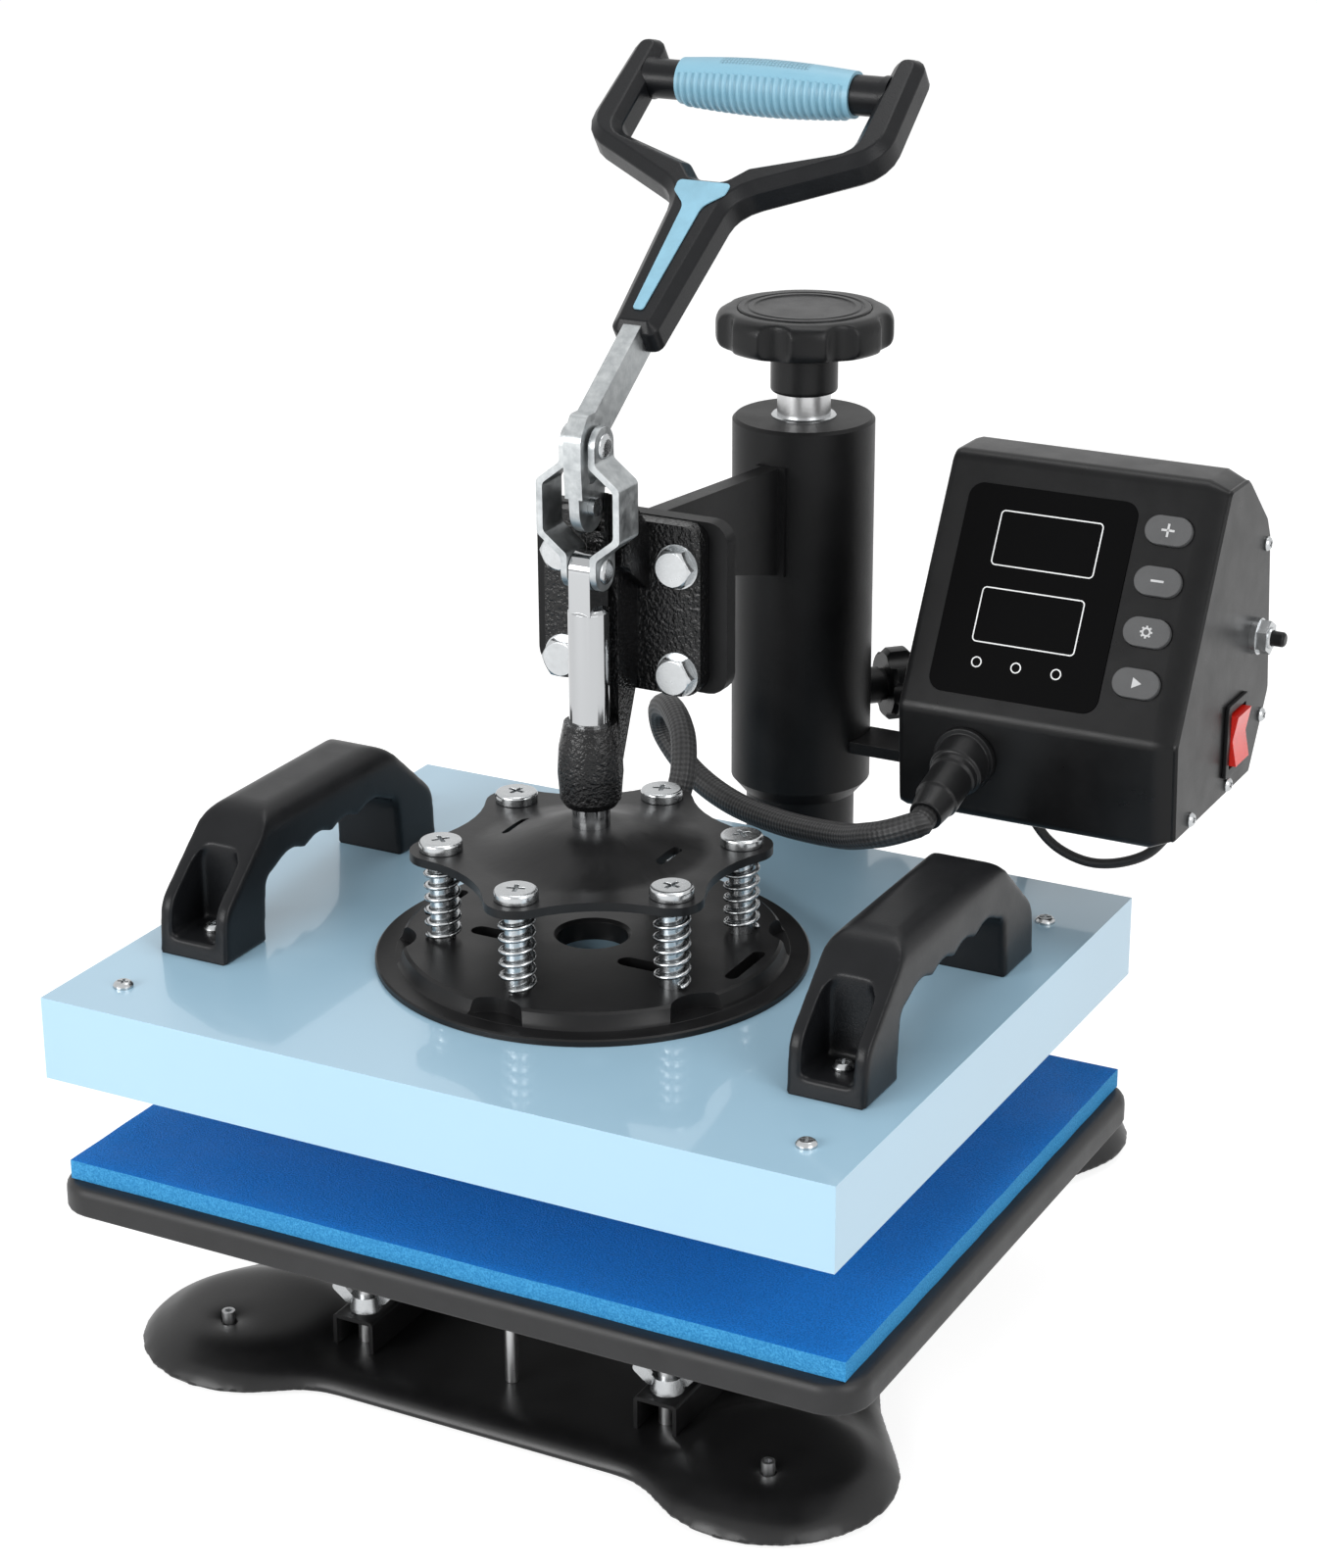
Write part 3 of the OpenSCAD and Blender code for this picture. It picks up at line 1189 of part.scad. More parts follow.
// Frame on the sloping face: x across, y up the slope, z out of the face
module face_frame() {
    translate([0, -knee_y, knee_z]) rotate([90 - face_lean, 0, 0]) children();
}
panel_x = box_x0 + 53;
panel_p = 57.5;
panel_sink = 1.2;
button_x = box_x0 + 109;
button_p0 = 26;
board_back = 10;
board_w = 112;
board_edge = 7.5;
board_h = 3 * button_pitch + 2 * board_edge;
board_p = button_p0 + 1.5 * button_pitch - 3;
module panel_outline(gap) {
    r = panel_r + gap;
    w = panel_w / 2 + gap;
    h = panel_h / 2 + gap;
    square([2 * w, 2 * (h - r)], center = true);
    square([2 * (w - r), 2 * h], center = true);
    for (sx = [-1, 1], sy = [-1, 1]) translate([sx * (w - r), sy * (h - r)]) circle(r = r);
}
module button_outline(gap) {
    d = button_h + 2 * gap;
    square([button_w - button_h, d], center = true);
    for (sx = [-1, 1]) translate([sx * (button_w - button_h) / 2, 0]) circle(d = d);
}
module board_spots() {
    for (sx = [-1, 1], sy = [-1, 1])
        translate([panel_x + sx * (panel_w / 2 - 4), board_p + sy * (board_h / 2 - 5), 0]) children();
}
socket_at = [box_x0 + 34, box_z0 + 29.6];
lead_x = [box_x0 + 23, box_x0 + 103];
lead_y = 3;
breaker_at = [7, box_z0 + 72];
bezel_at = [-15, box_z0 + 31];
panel_screws = [[-70, box_z0 + 9], [-21, box_z0 + 9], [22, box_z0 + 29], [17, box_z0 + 113]];
screw_d = 3;

module box_shell() {
    rim = box_x1 - panel_t;
    left = box_x0;
    wall = box_wall;
    color(satin) place() difference() {
        union() {
            box_loft([[wall + 1, -left - wall], [wall, -left - wall - 4], [wall, -rim + bevel_x],
                [wall + bevel_in, -rim], [bevel_in, -rim], [0, -rim + bevel_x], [0, -left - 4], [1, -left - 1], [3, -left]]);
            intersection() {
                face_frame() board_spots() translate([0, 0, -board_back]) cylinder(d = 6, h = board_back - 1);
                box_loft([[wall / 2, -rim], [wall / 2, -left - wall]]);
            }
            intersection() {
                for (s = panel_screws) translate([0, s[0], s[1]]) rod_x(7, box_x0 + wall / 2, rim);
                box_loft([[wall / 2 + bevel_in, -rim], [wall / 2, -rim + bevel_x], [wall / 2, -left - wall / 2]]);
            }
        }
        face_frame() {
            translate([panel_x, panel_p, -panel_sink]) linear_extrude(10) panel_outline(run_gap);
            for (i = [0:3]) translate([button_x, button_p0 + button_pitch * i, -wall - 2])
                linear_extrude(wall + 4) button_outline(move_gap);
        }
        for (s = panel_screws) translate([0, s[0], s[1]]) rod_x(screw_d + 2 * run_gap, rim - 12, rim + 1);
    }
}

module box_side_panel() {
    rim = box_x1 - panel_t;
    color(satin) place() difference() {
        box_loft([[bevel_in + 1, -box_x1], [bevel_in, -box_x1 + 1], [bevel_in, -rim]]);
        for (s = panel_screws) translate([0, s[0], s[1]]) rod_x(screw_d + 2 * run_gap, rim - 1, box_x1 + 1);
        translate([0, breaker_at[0], breaker_at[1]]) rod_x(breaker_thread + 2 * run_gap, rim - 1, box_x1 + 1);
        translate([rim - 1, bezel_at[0] - bezel_w / 2 + 2, bezel_at[1] - bezel_h / 2 + 2])
            cube([panel_t + 2, bezel_w - 4, bezel_h - 4]);
    }
}

module display_panel() {
    color("#101214") place() face_frame() translate([panel_x, panel_p, -panel_sink])
        linear_extrude(panel_sink + 0.6) panel_outline(0);
}

module circuit_board() {
    color("#2f6b46") place() face_frame() {
        translate([box_x0 + 62 - board_w / 2, board_p - board_h / 2, -board_back - 1.6])
            cube([board_w, board_h, 1.6]);
        for (i = [0:3]) translate([button_x - 3, button_p0 + button_pitch * i - 3, -board_back])
            cube([6, 6, board_back - box_wall - button_flange - button_stem - button_play]);
    }
}

button_flange = 1;
button_stem = 2;
button_play = 1.5;
button_proud = 2.6;
module push_button(i) {
    color("#9a9da1") place() face_frame() translate([button_x, button_p0 + button_pitch * i, 0]) {
        translate([0, 0, -box_wall - move_gap]) linear_extrude(box_wall + move_gap + button_proud) button_outline(0);
        translate([0, 0, -box_wall - move_gap - button_flange]) linear_extrude(button_flange) button_outline(1);
        translate([0, 0, -box_wall - move_gap - button_flange - button_stem]) cylinder(d = 4, h = button_stem);
    }
}
module button_start() { push_button(0); }
module button_set() { push_button(1); }
module button_minus() { push_button(2); }
module button_plus() { push_button(3); }

bezel_t = 2;
rocker_gap = 0.6;
module bezel_frame() {
    translate([box_x1, bezel_at[0], bezel_at[1]]) children();
}
module switch_bezel() {
    color(black) place() bezel_frame() difference() {
        union() {
            rotate([90, 0, 90]) linear_extrude(bezel_t)
                polygon(rounded(box_points(bezel_w, bezel_h), [2, 2, 2, 2], 3));
            translate([-16, -bezel_w / 2 + 2 + run_gap, -bezel_h / 2 + 2 + run_gap])
                cube([16, bezel_w - 4 - 2 * run_gap, bezel_h - 4 - 2 * run_gap]);
        }
        translate([-12, -bezel_w / 2 + 4, -bezel_h / 2 + 4]) cube([20, bezel_w - 8, bezel_h - 8]);
    }
}

module switch_rocker() {
    half = bezel_h / 2 - 4 - rocker_gap - 1;
    width = bezel_w - 8 - 2 * rocker_gap;
    color("#c8202a") place() bezel_frame() rotate([90, 0, 0]) linear_extrude(width, center = true)
        polygon([[-6, -3], [-2, -half], [bezel_t + 3, -half], [bezel_t + 0.8, 0], [bezel_t + 3, half], [-2, half], [-6, 3]]);
    color("#c8202a") place() bezel_frame() translate([-4, 0, 0])
        rod_y(3, -bezel_w / 2 + 4 + 0.1, bezel_w / 2 - 4 - 0.1);
}

breaker_thread = 10;
breaker_cap = 7;
module breaker_body() {
    ring = 3;
    nut = 5;
    color(black) place() translate([box_x1, breaker_at[0], breaker_at[1]]) difference() {
        union() {
            rod_x(17, 0, ring);
            translate([ring, 0, 0]) rotate([0, 90, 0]) hexagon(14, nut);
            rod_x(breaker_thread, -panel_t - 2, ring + nut + 1);
            translate([-panel_t - 26, -8, -15]) cube([26, 16, 30]);
        }
        rod_x(breaker_cap + 2 * move_gap, -panel_t - 8, breaker_len);
    }
}

module breaker_button() {
    color(black) place() translate([box_x1, breaker_at[0], breaker_at[1]]) rotate([0, 90, 0]) rotate_extrude()
        polygon([[0, -4], [breaker_cap / 2, -4], [breaker_cap / 2, breaker_len - 1], [breaker_cap / 2 - 1, breaker_len],
            [0, breaker_len]]);
}

module box_screws() {
    color(zinc) place() for (s = panel_screws) translate([box_x1, s[0], s[1]]) {
        rotate([0, 90, 0]) pan_head(screw_d * 2.25, screw_d * 0.75);
        rod_x(screw_d, -panel_t - 3 * screw_d, 0.5);
    }
}

// Heater plug on the lower front of the box, drooping with the cable
plug_droop = 16;
plug_len = 46;
module plug_frame() {
    translate([socket_at[0], -knee_y + 1, socket_at[1]]) rotate([90 + plug_droop, 0, 0]) children();
}
module cable_plug() {
    color(black) place() difference() {
        union() {
            translate([socket_at[0], 0, socket_at[1]]) rod_y(29, -knee_y - 2.5, -knee_y + 12);
            plug_frame() rotate_extrude() polygon([[0, 0], [12.5, 0], [12.5, 12], [11, 13], [11, 16], [10, 17], [10, 33],
                [9, 35], [7.5, plug_len], [0, plug_len]]);
        }
        rotate([90, 0, -90]) translate([0, 0, -box_x1]) linear_extrude(box_w) polygon(box_line);
    }
}

// Leads: routes in round numbers, in the modelling frame
plug_tip = [socket_at[0], -knee_y + 1 - plug_len * cos(plug_droop), socket_at[1] - plug_len * sin(plug_droop)];
plug_dir = [0, -cos(plug_droop), -sin(plug_droop)];
gland_tip = [gland_spot[0], gland_spot[1], notch_z + gland_h + run_gap];
cable_route = [plug_tip + 6 * plug_dir, [116, -148, 245], [104, -145, 240], [83, -131, 231], [44, -109, 222],
    [9, -90, 219], [-19, -76, 224], [-39, -67, 237], [-40, -71, 252], [-27, -85, 259], [-11, -104, 255],
    [-4, -117, 242], [-5, -123, 226], gland_tip + [0, 0, 8]];
module heater_cable() {
    color("#202123") place() tube(concat([plug_tip], smooth(cable_route, 3), [gland_tip]), cable_d / 2, 10, [0, 0, 1]);
}

gland_len = 8;
module rear_glands() {
    color(black) place() for (x = lead_x) translate([x, lead_y, box_z0 - gland_len]) rotate_extrude()
        polygon([[0, 0], [lead_d / 2 + 0.8, 0], [5, 3], [5, gland_len], [0, gland_len]]);
}

lead_top = box_z0 - gland_len;
lead_route = [[lead_x[0], lead_y, lead_top - 5], [117, 3, 213], [121, 3, 201], [130, 3, 190], [141, 3, 184],
    [154, 3, 182], [168, 3, 185], [181, 3, 192], [190, 3, 203], [195, 3, 213], [lead_x[1], lead_y, lead_top - 5]];
module rear_lead() {
    ends = [for (x = lead_x) [x, lead_y, lead_top]];
    color("#202123") place() tube(concat([ends[0]], smooth(lead_route, 3), [ends[1]]), lead_d / 2, 8, [0, 1, 0]);
}

// Bracket that carries the box from the sleeve
module box_arm() {
    bar_d = 25;
    bar_h = 6;
    plate_thk = 4;
    z0 = box_z0 - 2 * bar_h;
    front = -0.55 * knee_y;
    high = z0 + 0.75 * (face_top[1] - box_z0);
    color(satin) place() difference() {
        union() {
            translate([0, -bar_d / 2, z0]) cube([box_x0 - 1, bar_d, bar_h]);
            translate([box_x0 - plate_thk / 2, 0, 0]) across(plate_thk) polygon(rounded([[front, z0], [bar_d / 2, z0],
                [bar_d / 2, high - 2 * bar_d], [front / 3, high], [front, high - bar_d * 1.4]], [6, 6, 8, 8, 8], 3));
        }
        sleeve_cut();
    }
}

base_plate();
rubber_feet();
foot_screws();
rail_left();
rail_right();
platen_studs();
wing_nuts();
support_rod();
column_post();
post_bolts();
screw_nut();
lower_platen();
silicone_pad();
thrust_bearing();
pressure_knob();
knob_cap();
pressure_screw();
column_sleeve();
arm_bracket();
press_bracket();
bracket_bolts();
pivot_pin();
box_arm();
box_shell();
box_side_panel();
display_panel();
switch_bezel();
breaker_body();
box_screws();
cable_plug();
circuit_board();
rear_glands();
rear_lead();
heater_cable();
lock_knob();
button_plus();
button_minus();
button_set();
button_start();
switch_rocker();
breaker_button();
lever_bar();
handle_yoke();
handle_grip();
handle_inlay();
link_left();
link_right();
link_pins();
ram();
spider_plate();
press_springs();
shoulder_bolts();
mount_disc();
platen_cover();
heat_plate();
insulation();
handle_left();
handle_right();
cover_screws();
cable_gland();
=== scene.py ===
# %% [markdown]
# A swing-away heat press, dressed for its portrait. The frame holds every solid part at its true
# size, already jointed. Here each part gets its softened edges and its finish, and the pieces that
# are wound, woven or printed are made new. All lengths are in metres unless a name ends in _mm.

# %% Load the frame
import json
from math import cos, hypot, pi, radians, sin

import bpy
from mathutils import Matrix, Vector


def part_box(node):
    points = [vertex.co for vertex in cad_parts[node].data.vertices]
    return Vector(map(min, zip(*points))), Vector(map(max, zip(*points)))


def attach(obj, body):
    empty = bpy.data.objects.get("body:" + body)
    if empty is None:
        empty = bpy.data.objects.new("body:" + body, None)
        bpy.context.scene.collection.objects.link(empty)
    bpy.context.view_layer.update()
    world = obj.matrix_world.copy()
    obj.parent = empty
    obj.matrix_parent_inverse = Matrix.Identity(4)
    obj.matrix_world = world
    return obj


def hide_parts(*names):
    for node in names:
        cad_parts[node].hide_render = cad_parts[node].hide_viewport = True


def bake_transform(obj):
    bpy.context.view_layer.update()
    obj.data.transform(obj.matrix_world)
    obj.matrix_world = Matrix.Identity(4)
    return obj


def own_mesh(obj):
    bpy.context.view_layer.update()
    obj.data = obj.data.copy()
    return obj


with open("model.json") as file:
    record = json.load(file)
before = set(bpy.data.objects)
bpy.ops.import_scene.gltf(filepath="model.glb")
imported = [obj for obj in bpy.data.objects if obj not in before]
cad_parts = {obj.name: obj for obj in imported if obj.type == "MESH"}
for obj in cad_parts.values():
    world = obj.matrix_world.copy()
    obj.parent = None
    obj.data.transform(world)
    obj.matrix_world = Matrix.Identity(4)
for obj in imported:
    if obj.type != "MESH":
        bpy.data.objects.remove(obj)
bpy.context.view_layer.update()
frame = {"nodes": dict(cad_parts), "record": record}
nodes = frame["nodes"]
MM = 0.001

# %% [markdown]
# The maker drew the press about its column. Those drawing coordinates are handy for camera and
# cords, so one small function carries a point in millimetres from the column to this frame. The
# handle was drawn flat on the leaning lever, so one matrix carries its drawing plane here as well.

# %% From the column to the frame
COLUMN_MM = Vector((-21.5, 128.0, 0.0))
HEAD_Y_MM, LEVER_PIN_Z_MM = -211.5, 426


def at(x, y, z):
    """A point measured from the column's foot in millimetres, in this frame in metres."""
    return (Vector((x, y, z)) + COLUMN_MM) * MM


LEVER_TILT = radians(34.5)
LEVER = Matrix.Translation(at(0, HEAD_Y_MM, LEVER_PIN_Z_MM)) @ Matrix.Rotation(LEVER_TILT, 4, "X")
GRIP_REACH = 209 * MM
print("lever pin at", [round(v, 4) for v in LEVER.to_translation()])

# %% [markdown]
# The camera stands to the right of the operator and a little above the platen. Its direction is
# built from an azimuth and an elevation, which is easier to reason about than three turns.

# %% Camera
AZIMUTH, ELEVATION, ROLL = radians(28.063), radians(21.103), radians(-0.33)
FOCAL_PX, LONG_SIDE_PX, SENSOR_MM = 3537.3, 1600, 36.0
EYE_MM = (689.56, -1442.14, 812.97)

back = Vector((sin(AZIMUTH) * cos(ELEVATION), -cos(AZIMUTH) * cos(ELEVATION), sin(ELEVATION)))
level_right = Vector((0, 0, 1)).cross(back).normalized()
level_up = back.cross(level_right)
right = cos(ROLL) * level_right + sin(ROLL) * level_up
up = cos(ROLL) * level_up - sin(ROLL) * level_right

bpy.ops.object.camera_add()
camera = bpy.context.object
camera.name = "portrait_camera"
camera.data.sensor_width = SENSOR_MM
camera.data.lens = FOCAL_PX * SENSOR_MM / LONG_SIDE_PX
camera.matrix_world = Matrix.Translation(at(*EYE_MM)) @ Matrix((right, up, back)).transposed().to_4x4()
bpy.context.scene.camera = camera
print("camera lens", round(camera.data.lens, 2), "mm")

# %% [markdown]
# Two leads leave the press: the braided heater cable, which runs from the plug on the control box
# to the platen, and the thin lead that loops under the box. A lead is one smooth curve through a
# few points, so a spline passes through them and a round skin is swept along it. The skin carries
# a map of turns and length, which the braid follows later.

# %% Sweep a lead
SPLINE_STEPS = 8


def spline(points):
    """A smooth line through every point."""
    line = []
    last = len(points) - 1
    for i in range(last):
        p0, p1, p2, p3 = (points[min(max(i + k, 0), last)] for k in (-1, 0, 1, 2))
        for s in range(SPLINE_STEPS):
            t = s / SPLINE_STEPS
            line.append(0.5 * (2 * p1 + (p2 - p0) * t + (2 * p0 - 5 * p1 + 4 * p2 - p3) * t * t
                               + (3 * p1 - p0 - 3 * p2 + p3) * t ** 3))
    return line + [points[last]]


def sweep(name, line, radius, sides):
    """A round closed skin along a line, with the turn and the length in its map."""
    bpy.ops.object.select_all(action="DESELECT")
    verts, faces, run = [], [], [0.0]
    for a, b in zip(line, line[1:]):
        run.append(run[-1] + (b - a).length)
    side = (line[1] - line[0]).orthogonal()
    for i, point in enumerate(line):
        ahead = (line[min(i + 1, len(line) - 1)] - line[max(i - 1, 0)]).normalized()
        side = (side - ahead * side.dot(ahead)).normalized()
        other = ahead.cross(side)
        for k in range(sides):
            a = 2 * pi * k / sides
            verts.append(point + radius * (cos(a) * side + sin(a) * other))
    for i in range(len(line) - 1):
        for k in range(sides):
            j = (k + 1) % sides
            faces.append((i * sides + k, i * sides + j, (i + 1) * sides + j, (i + 1) * sides + k))
    skin = len(faces)
    faces += [tuple(range(sides - 1, -1, -1)), tuple((len(line) - 1) * sides + k for k in range(sides))]
    mesh = bpy.data.meshes.new(name)
    mesh.from_pydata(verts, [], faces)
    uv = mesh.uv_layers.new(name="UVMap")
    for f, polygon in enumerate(mesh.polygons[:skin]):
        i, k = divmod(f, sides)
        for loop, (di, dk) in zip(polygon.loop_indices, ((0, 0), (0, 1), (1, 1), (1, 0))):
            uv.data[loop].uv = ((k + dk) / sides, run[i + di])
    piece = bpy.data.objects.new(name, mesh)
    bpy.context.scene.collection.objects.link(piece)
    mesh.polygons.foreach_set("use_smooth", [i < skin for i in range(len(faces))])
    return piece, run[-1]


# %% [markdown]
# The heater cable leaves the plug along its droop, sags behind the press head, rises in one loop
# and goes down into the gland on the platen.

# %% Heater cable
PLUG_DROOP = radians(16)
PLUG_DIR = Vector((0, -cos(PLUG_DROOP), -sin(PLUG_DROOP)))
PLUG_SEAT_MM, PLUG_LONG_MM = Vector((127, -94, 263.6)), 46
PLUG_TIP_MM = PLUG_SEAT_MM + PLUG_LONG_MM * PLUG_DIR
GLAND_TIP_MM = Vector((-5, -123.5, 203.15))
STRAIGHT_OUT_MM, STRAIGHT_IN_MM = 6, 8
CABLE_R, CABLE_SIDES = 6 * MM, 16

cable_route_mm = [PLUG_TIP_MM + STRAIGHT_OUT_MM * PLUG_DIR] + [Vector(p) for p in (
    (116, -148, 245), (104, -145, 240), (83, -131, 231), (44, -109, 222), (9, -90, 219), (-19, -76, 224),
    (-39, -67, 237), (-40, -71, 252), (-27, -85, 259), (-11, -104, 255), (-4, -117, 242), (-5, -123, 226))]
cable_route_mm.append(GLAND_TIP_MM + Vector((0, 0, STRAIGHT_IN_MM)))
cable_line = [at(*p) for p in [PLUG_TIP_MM] + spline(cable_route_mm) + [GLAND_TIP_MM]]
heater_cable, cable_length = sweep("heater_cable_braided", cable_line, CABLE_R, CABLE_SIDES)
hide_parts("heater_cable")
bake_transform(heater_cable)
print("heater cable", round(cable_length, 4), "m")

# %% [markdown]
# The lead under the box hangs in one even loop between its two glands.

# %% Lead under the box
LEAD_R, LEAD_SIDES = 2.4 * MM, 12
LEAD_Y_MM, LEAD_TOP_MM, LEAD_STRAIGHT_MM = 3, 226, 5

lead_left_mm, lead_right_mm = (Vector((x, LEAD_Y_MM, LEAD_TOP_MM)) for x in (116, 196))
lead_drop_mm = Vector((0, 0, LEAD_STRAIGHT_MM))
lead_loop_mm = [Vector((x, LEAD_Y_MM, z)) for x, z in (
    (117, 213), (121, 201), (130, 190), (141, 184), (154, 182),
    (168, 185), (181, 192), (190, 203), (195, 213))]
lead_route_mm = [lead_left_mm - lead_drop_mm] + lead_loop_mm + [lead_right_mm - lead_drop_mm]
lead_line = [at(*p) for p in [lead_left_mm] + spline(lead_route_mm) + [lead_right_mm]]
rear_lead, lead_length = sweep("rear_lead_loop", lead_line, LEAD_R, LEAD_SIDES)
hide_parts("rear_lead")
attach(rear_lead, "swing_arm")
print("rear lead", round(lead_length, 4), "m")

# %% [markdown]
# Finishes are written as sums. A Flow wraps one socket of the shader, so that a line such as
# 1 - grain * 0.3 adds the Math nodes it needs. A Finish is one material with its Principled shader,
# and its node method adds any other node from a type, its settings and its sockets.

# %% Shader sums
class Flow:
    """One value on its way through a shader."""

    def __init__(self, finish, socket):
        self.finish, self.socket = finish, socket

    def _sum(self, operation, first, second):
        return self.finish.node("ShaderNodeMath", {"operation": operation}, {0: first, 1: second})

    def __add__(self, other):
        return self._sum("ADD", self, other)

    __radd__ = __add__

    def __sub__(self, other):
        return self._sum("SUBTRACT", self, other)

    def __rsub__(self, other):
        return self._sum("SUBTRACT", other, self)

    def __mul__(self, other):
        return self._sum("MULTIPLY", self, other)

    def above(self, limit):
        return self._sum("GREATER_THAN", self, limit)

    def wave(self):
        return self._sum("SINE", self, 0.0)

    def size(self):
        return self._sum("ABSOLUTE", self, 0.0)

    def turn_from(self, other):
        return self._sum("ARCTAN2", self, other)


class Finish:
    """One material, its shader and the nodes that feed it."""

    def __init__(self, name, colour, roughness, metallic=0.0, **sockets):
        self.material = bpy.data.materials.new(name)
        self.material.use_nodes = True
        self.tree = self.material.node_tree
        self.shader = self.tree.nodes["Principled BSDF"]
        self.colour, self.roughness = colour, roughness
        self.feed("Base Color", (*colour, 1))
        self.feed("Roughness", roughness)
        self.feed("Metallic", metallic)
        for key, value in sockets.items():
            self.feed(key.replace("_", " ").title().replace("Ior", "IOR"), value)
        self.material.diffuse_color = (*colour, 1)
        self.place = self.node("ShaderNodeTexCoord", out="Object")

    def node(self, kind, settings=None, sockets=None, out=0):
        made = self.tree.nodes.new(kind)
        for key, value in (settings or {}).items():
            setattr(made, key, value)
        for key, value in (sockets or {}).items():
            self.plug(made.inputs[key], value)
        return Flow(self, made.outputs[out])

    def plug(self, socket, value):
        if isinstance(value, Flow):
            self.tree.links.new(value.socket, socket)
        else:
            socket.default_value = value

    def feed(self, socket, value):
        self.plug(self.shader.inputs[socket], value)

    def mix(self, share, first, second):
        """A colour between two colours."""
        first, second = (c if isinstance(c, Flow) else (*c, 1) for c in (first, second))
        return self.node("ShaderNodeMix", {"data_type": "RGBA"}, {0: share, 6: first, 7: second}, out=2)

    def stretched(self, scale):
        """The place on the piece, stretched, so that a noise on it runs in streaks."""
        return self.node("ShaderNodeMapping", {}, {"Vector": self.place, "Scale": scale})

    def noise(self, scale, detail=2.0, rough=0.5, where=None):
        return self.node("ShaderNodeTexNoise", {}, {
            "Vector": where or self.place, "Scale": scale, "Detail": detail, "Roughness": rough})

    def cells(self, scale, feature="F1"):
        return self.node("ShaderNodeTexVoronoi", {"feature": feature},
                         {"Vector": self.place, "Scale": scale}, out="Distance")

    def spread(self, value, low, high):
        """Stretches a middling noise so that low to high becomes 0 to 1."""
        return self.node("ShaderNodeMapRange", {}, {"Value": value, "From Min": low, "From Max": high})

    def axes(self, vector):
        """The three parts of a vector."""
        parts = self.node("ShaderNodeSeparateXYZ", {}, {"Vector": vector})
        return [Flow(self, s) for s in parts.socket.node.outputs]

    def bump(self, height, depth, strength=1.0):
        self.feed("Normal", self.node("ShaderNodeBump", {}, {
            "Height": height, "Distance": depth, "Strength": strength}))

    def uneven(self, scale, spread, shade):
        """Lets roughness and colour wander a little, as a hand leaves a surface."""
        cloud = self.spread(self.noise(scale, 4.0, 0.6), 0.3, 0.7)
        self.feed("Roughness", self.roughness - spread / 2 + cloud * spread)
        dark = tuple(c * (1 - shade) for c in self.colour)
        light = tuple(min(1.0, c * (1 + shade)) for c in self.colour)
        self.feed("Base Color", self.mix(cloud, dark, light))
        return cloud


# %% [markdown]
# Paints first. Black enamel on pressed sheet has a faint orange peel. Powder coat is finer and
# duller. The sand-cast press head is painted over a rough skin, so its bump is much coarser. The
# platen cover is glossy sky-blue enamel under a clear layer.

# %% Paints
def enamel_black(name, shine):
    f = Finish(name, (0.0085, 0.0085, 0.009), 0.36, specular_ior_level=shine)
    f.uneven(45, 0.08, 0.15)
    f.bump(f.noise(500, 2.0), 0.00006, 0.4)
    return f.material


def powder_black():
    f = Finish("powder_black", (0.008, 0.0081, 0.0086), 0.42, specular_ior_level=0.17)
    f.uneven(40, 0.08, 0.15)
    f.bump(f.noise(2600, 2.0) + f.noise(420, 2.0) * 0.6, 0.0001, 0.55)
    return f.material


def cast_black():
    f = Finish("cast_black", (0.004, 0.004, 0.0043), 0.2, specular_ior_level=0.36)
    f.uneven(120, 0.08, 0.2)
    f.bump(f.spread(f.noise(600, 2.0, 0.5), 0.34, 0.66), 0.00034, 0.75)
    return f.material


def sky_enamel():
    f = Finish("sky_enamel", (0.4, 0.625, 0.785), 0.32, coat_weight=0.7, coat_roughness=0.05)
    f.uneven(14, 0.03, 0.01)
    f.bump(f.noise(60, 2.0), 0.00002, 0.2)
    return f.material


def plate_grey():
    f = Finish("plate_grey", (0.018, 0.0182, 0.019), 0.46, specular_ior_level=0.35)
    f.uneven(60, 0.1, 0.18)
    f.bump(f.noise(1500, 3.0), 0.00012, 0.5)
    return f.material


paint_black, paint_base = enamel_black("enamel_black", 0.22), enamel_black("enamel_base", 0.38)
paint_powder, paint_cast = powder_black(), cast_black()
paint_sky, paint_grey = sky_enamel(), plate_grey()
print("paints ready")

# %% [markdown]
# Metals differ mostly in how they scatter. Zinc plate is cloudy and slightly blue, rolled strip
# keeps long draw marks, turned steel has rings round its axis, and chrome is nearly a mirror.

# %% Metals
RING_PITCH = 0.6 * MM


def zinc_bright():
    f = Finish("zinc_bright", (0.5, 0.515, 0.525), 0.24, 1.0)
    cloud = f.uneven(260, 0.1, 0.07)
    f.bump(f.noise(1800, 3.0) + cloud * 0.2, 0.00004, 0.4)
    return f.material


def zinc_strip():
    f = Finish("zinc_strip", (0.6, 0.625, 0.635), 0.36, 1.0)
    drawn = f.noise(1.0, 3.0, 0.6, f.stretched((900, 900, 45)))
    blotch = f.spread(f.noise(190, 4.0, 0.65), 0.32, 0.7)
    f.feed("Roughness", 0.28 + blotch * 0.16 + drawn * 0.08)
    f.feed("Base Color", f.mix(blotch, (0.34, 0.36, 0.37), (0.5, 0.52, 0.525)))
    f.bump(drawn + blotch * 0.4, 0.00007, 0.5)
    return f.material


def chrome_bright():
    f = Finish("chrome_bright", (0.44, 0.45, 0.46), 0.07, 1.0)
    f.feed("Roughness", 0.05 + f.noise(1.0, 2.0, 0.5, f.stretched((300, 300, 20))) * 0.06)
    f.bump(f.noise(90, 2.0), 0.00004, 0.3)
    return f.material


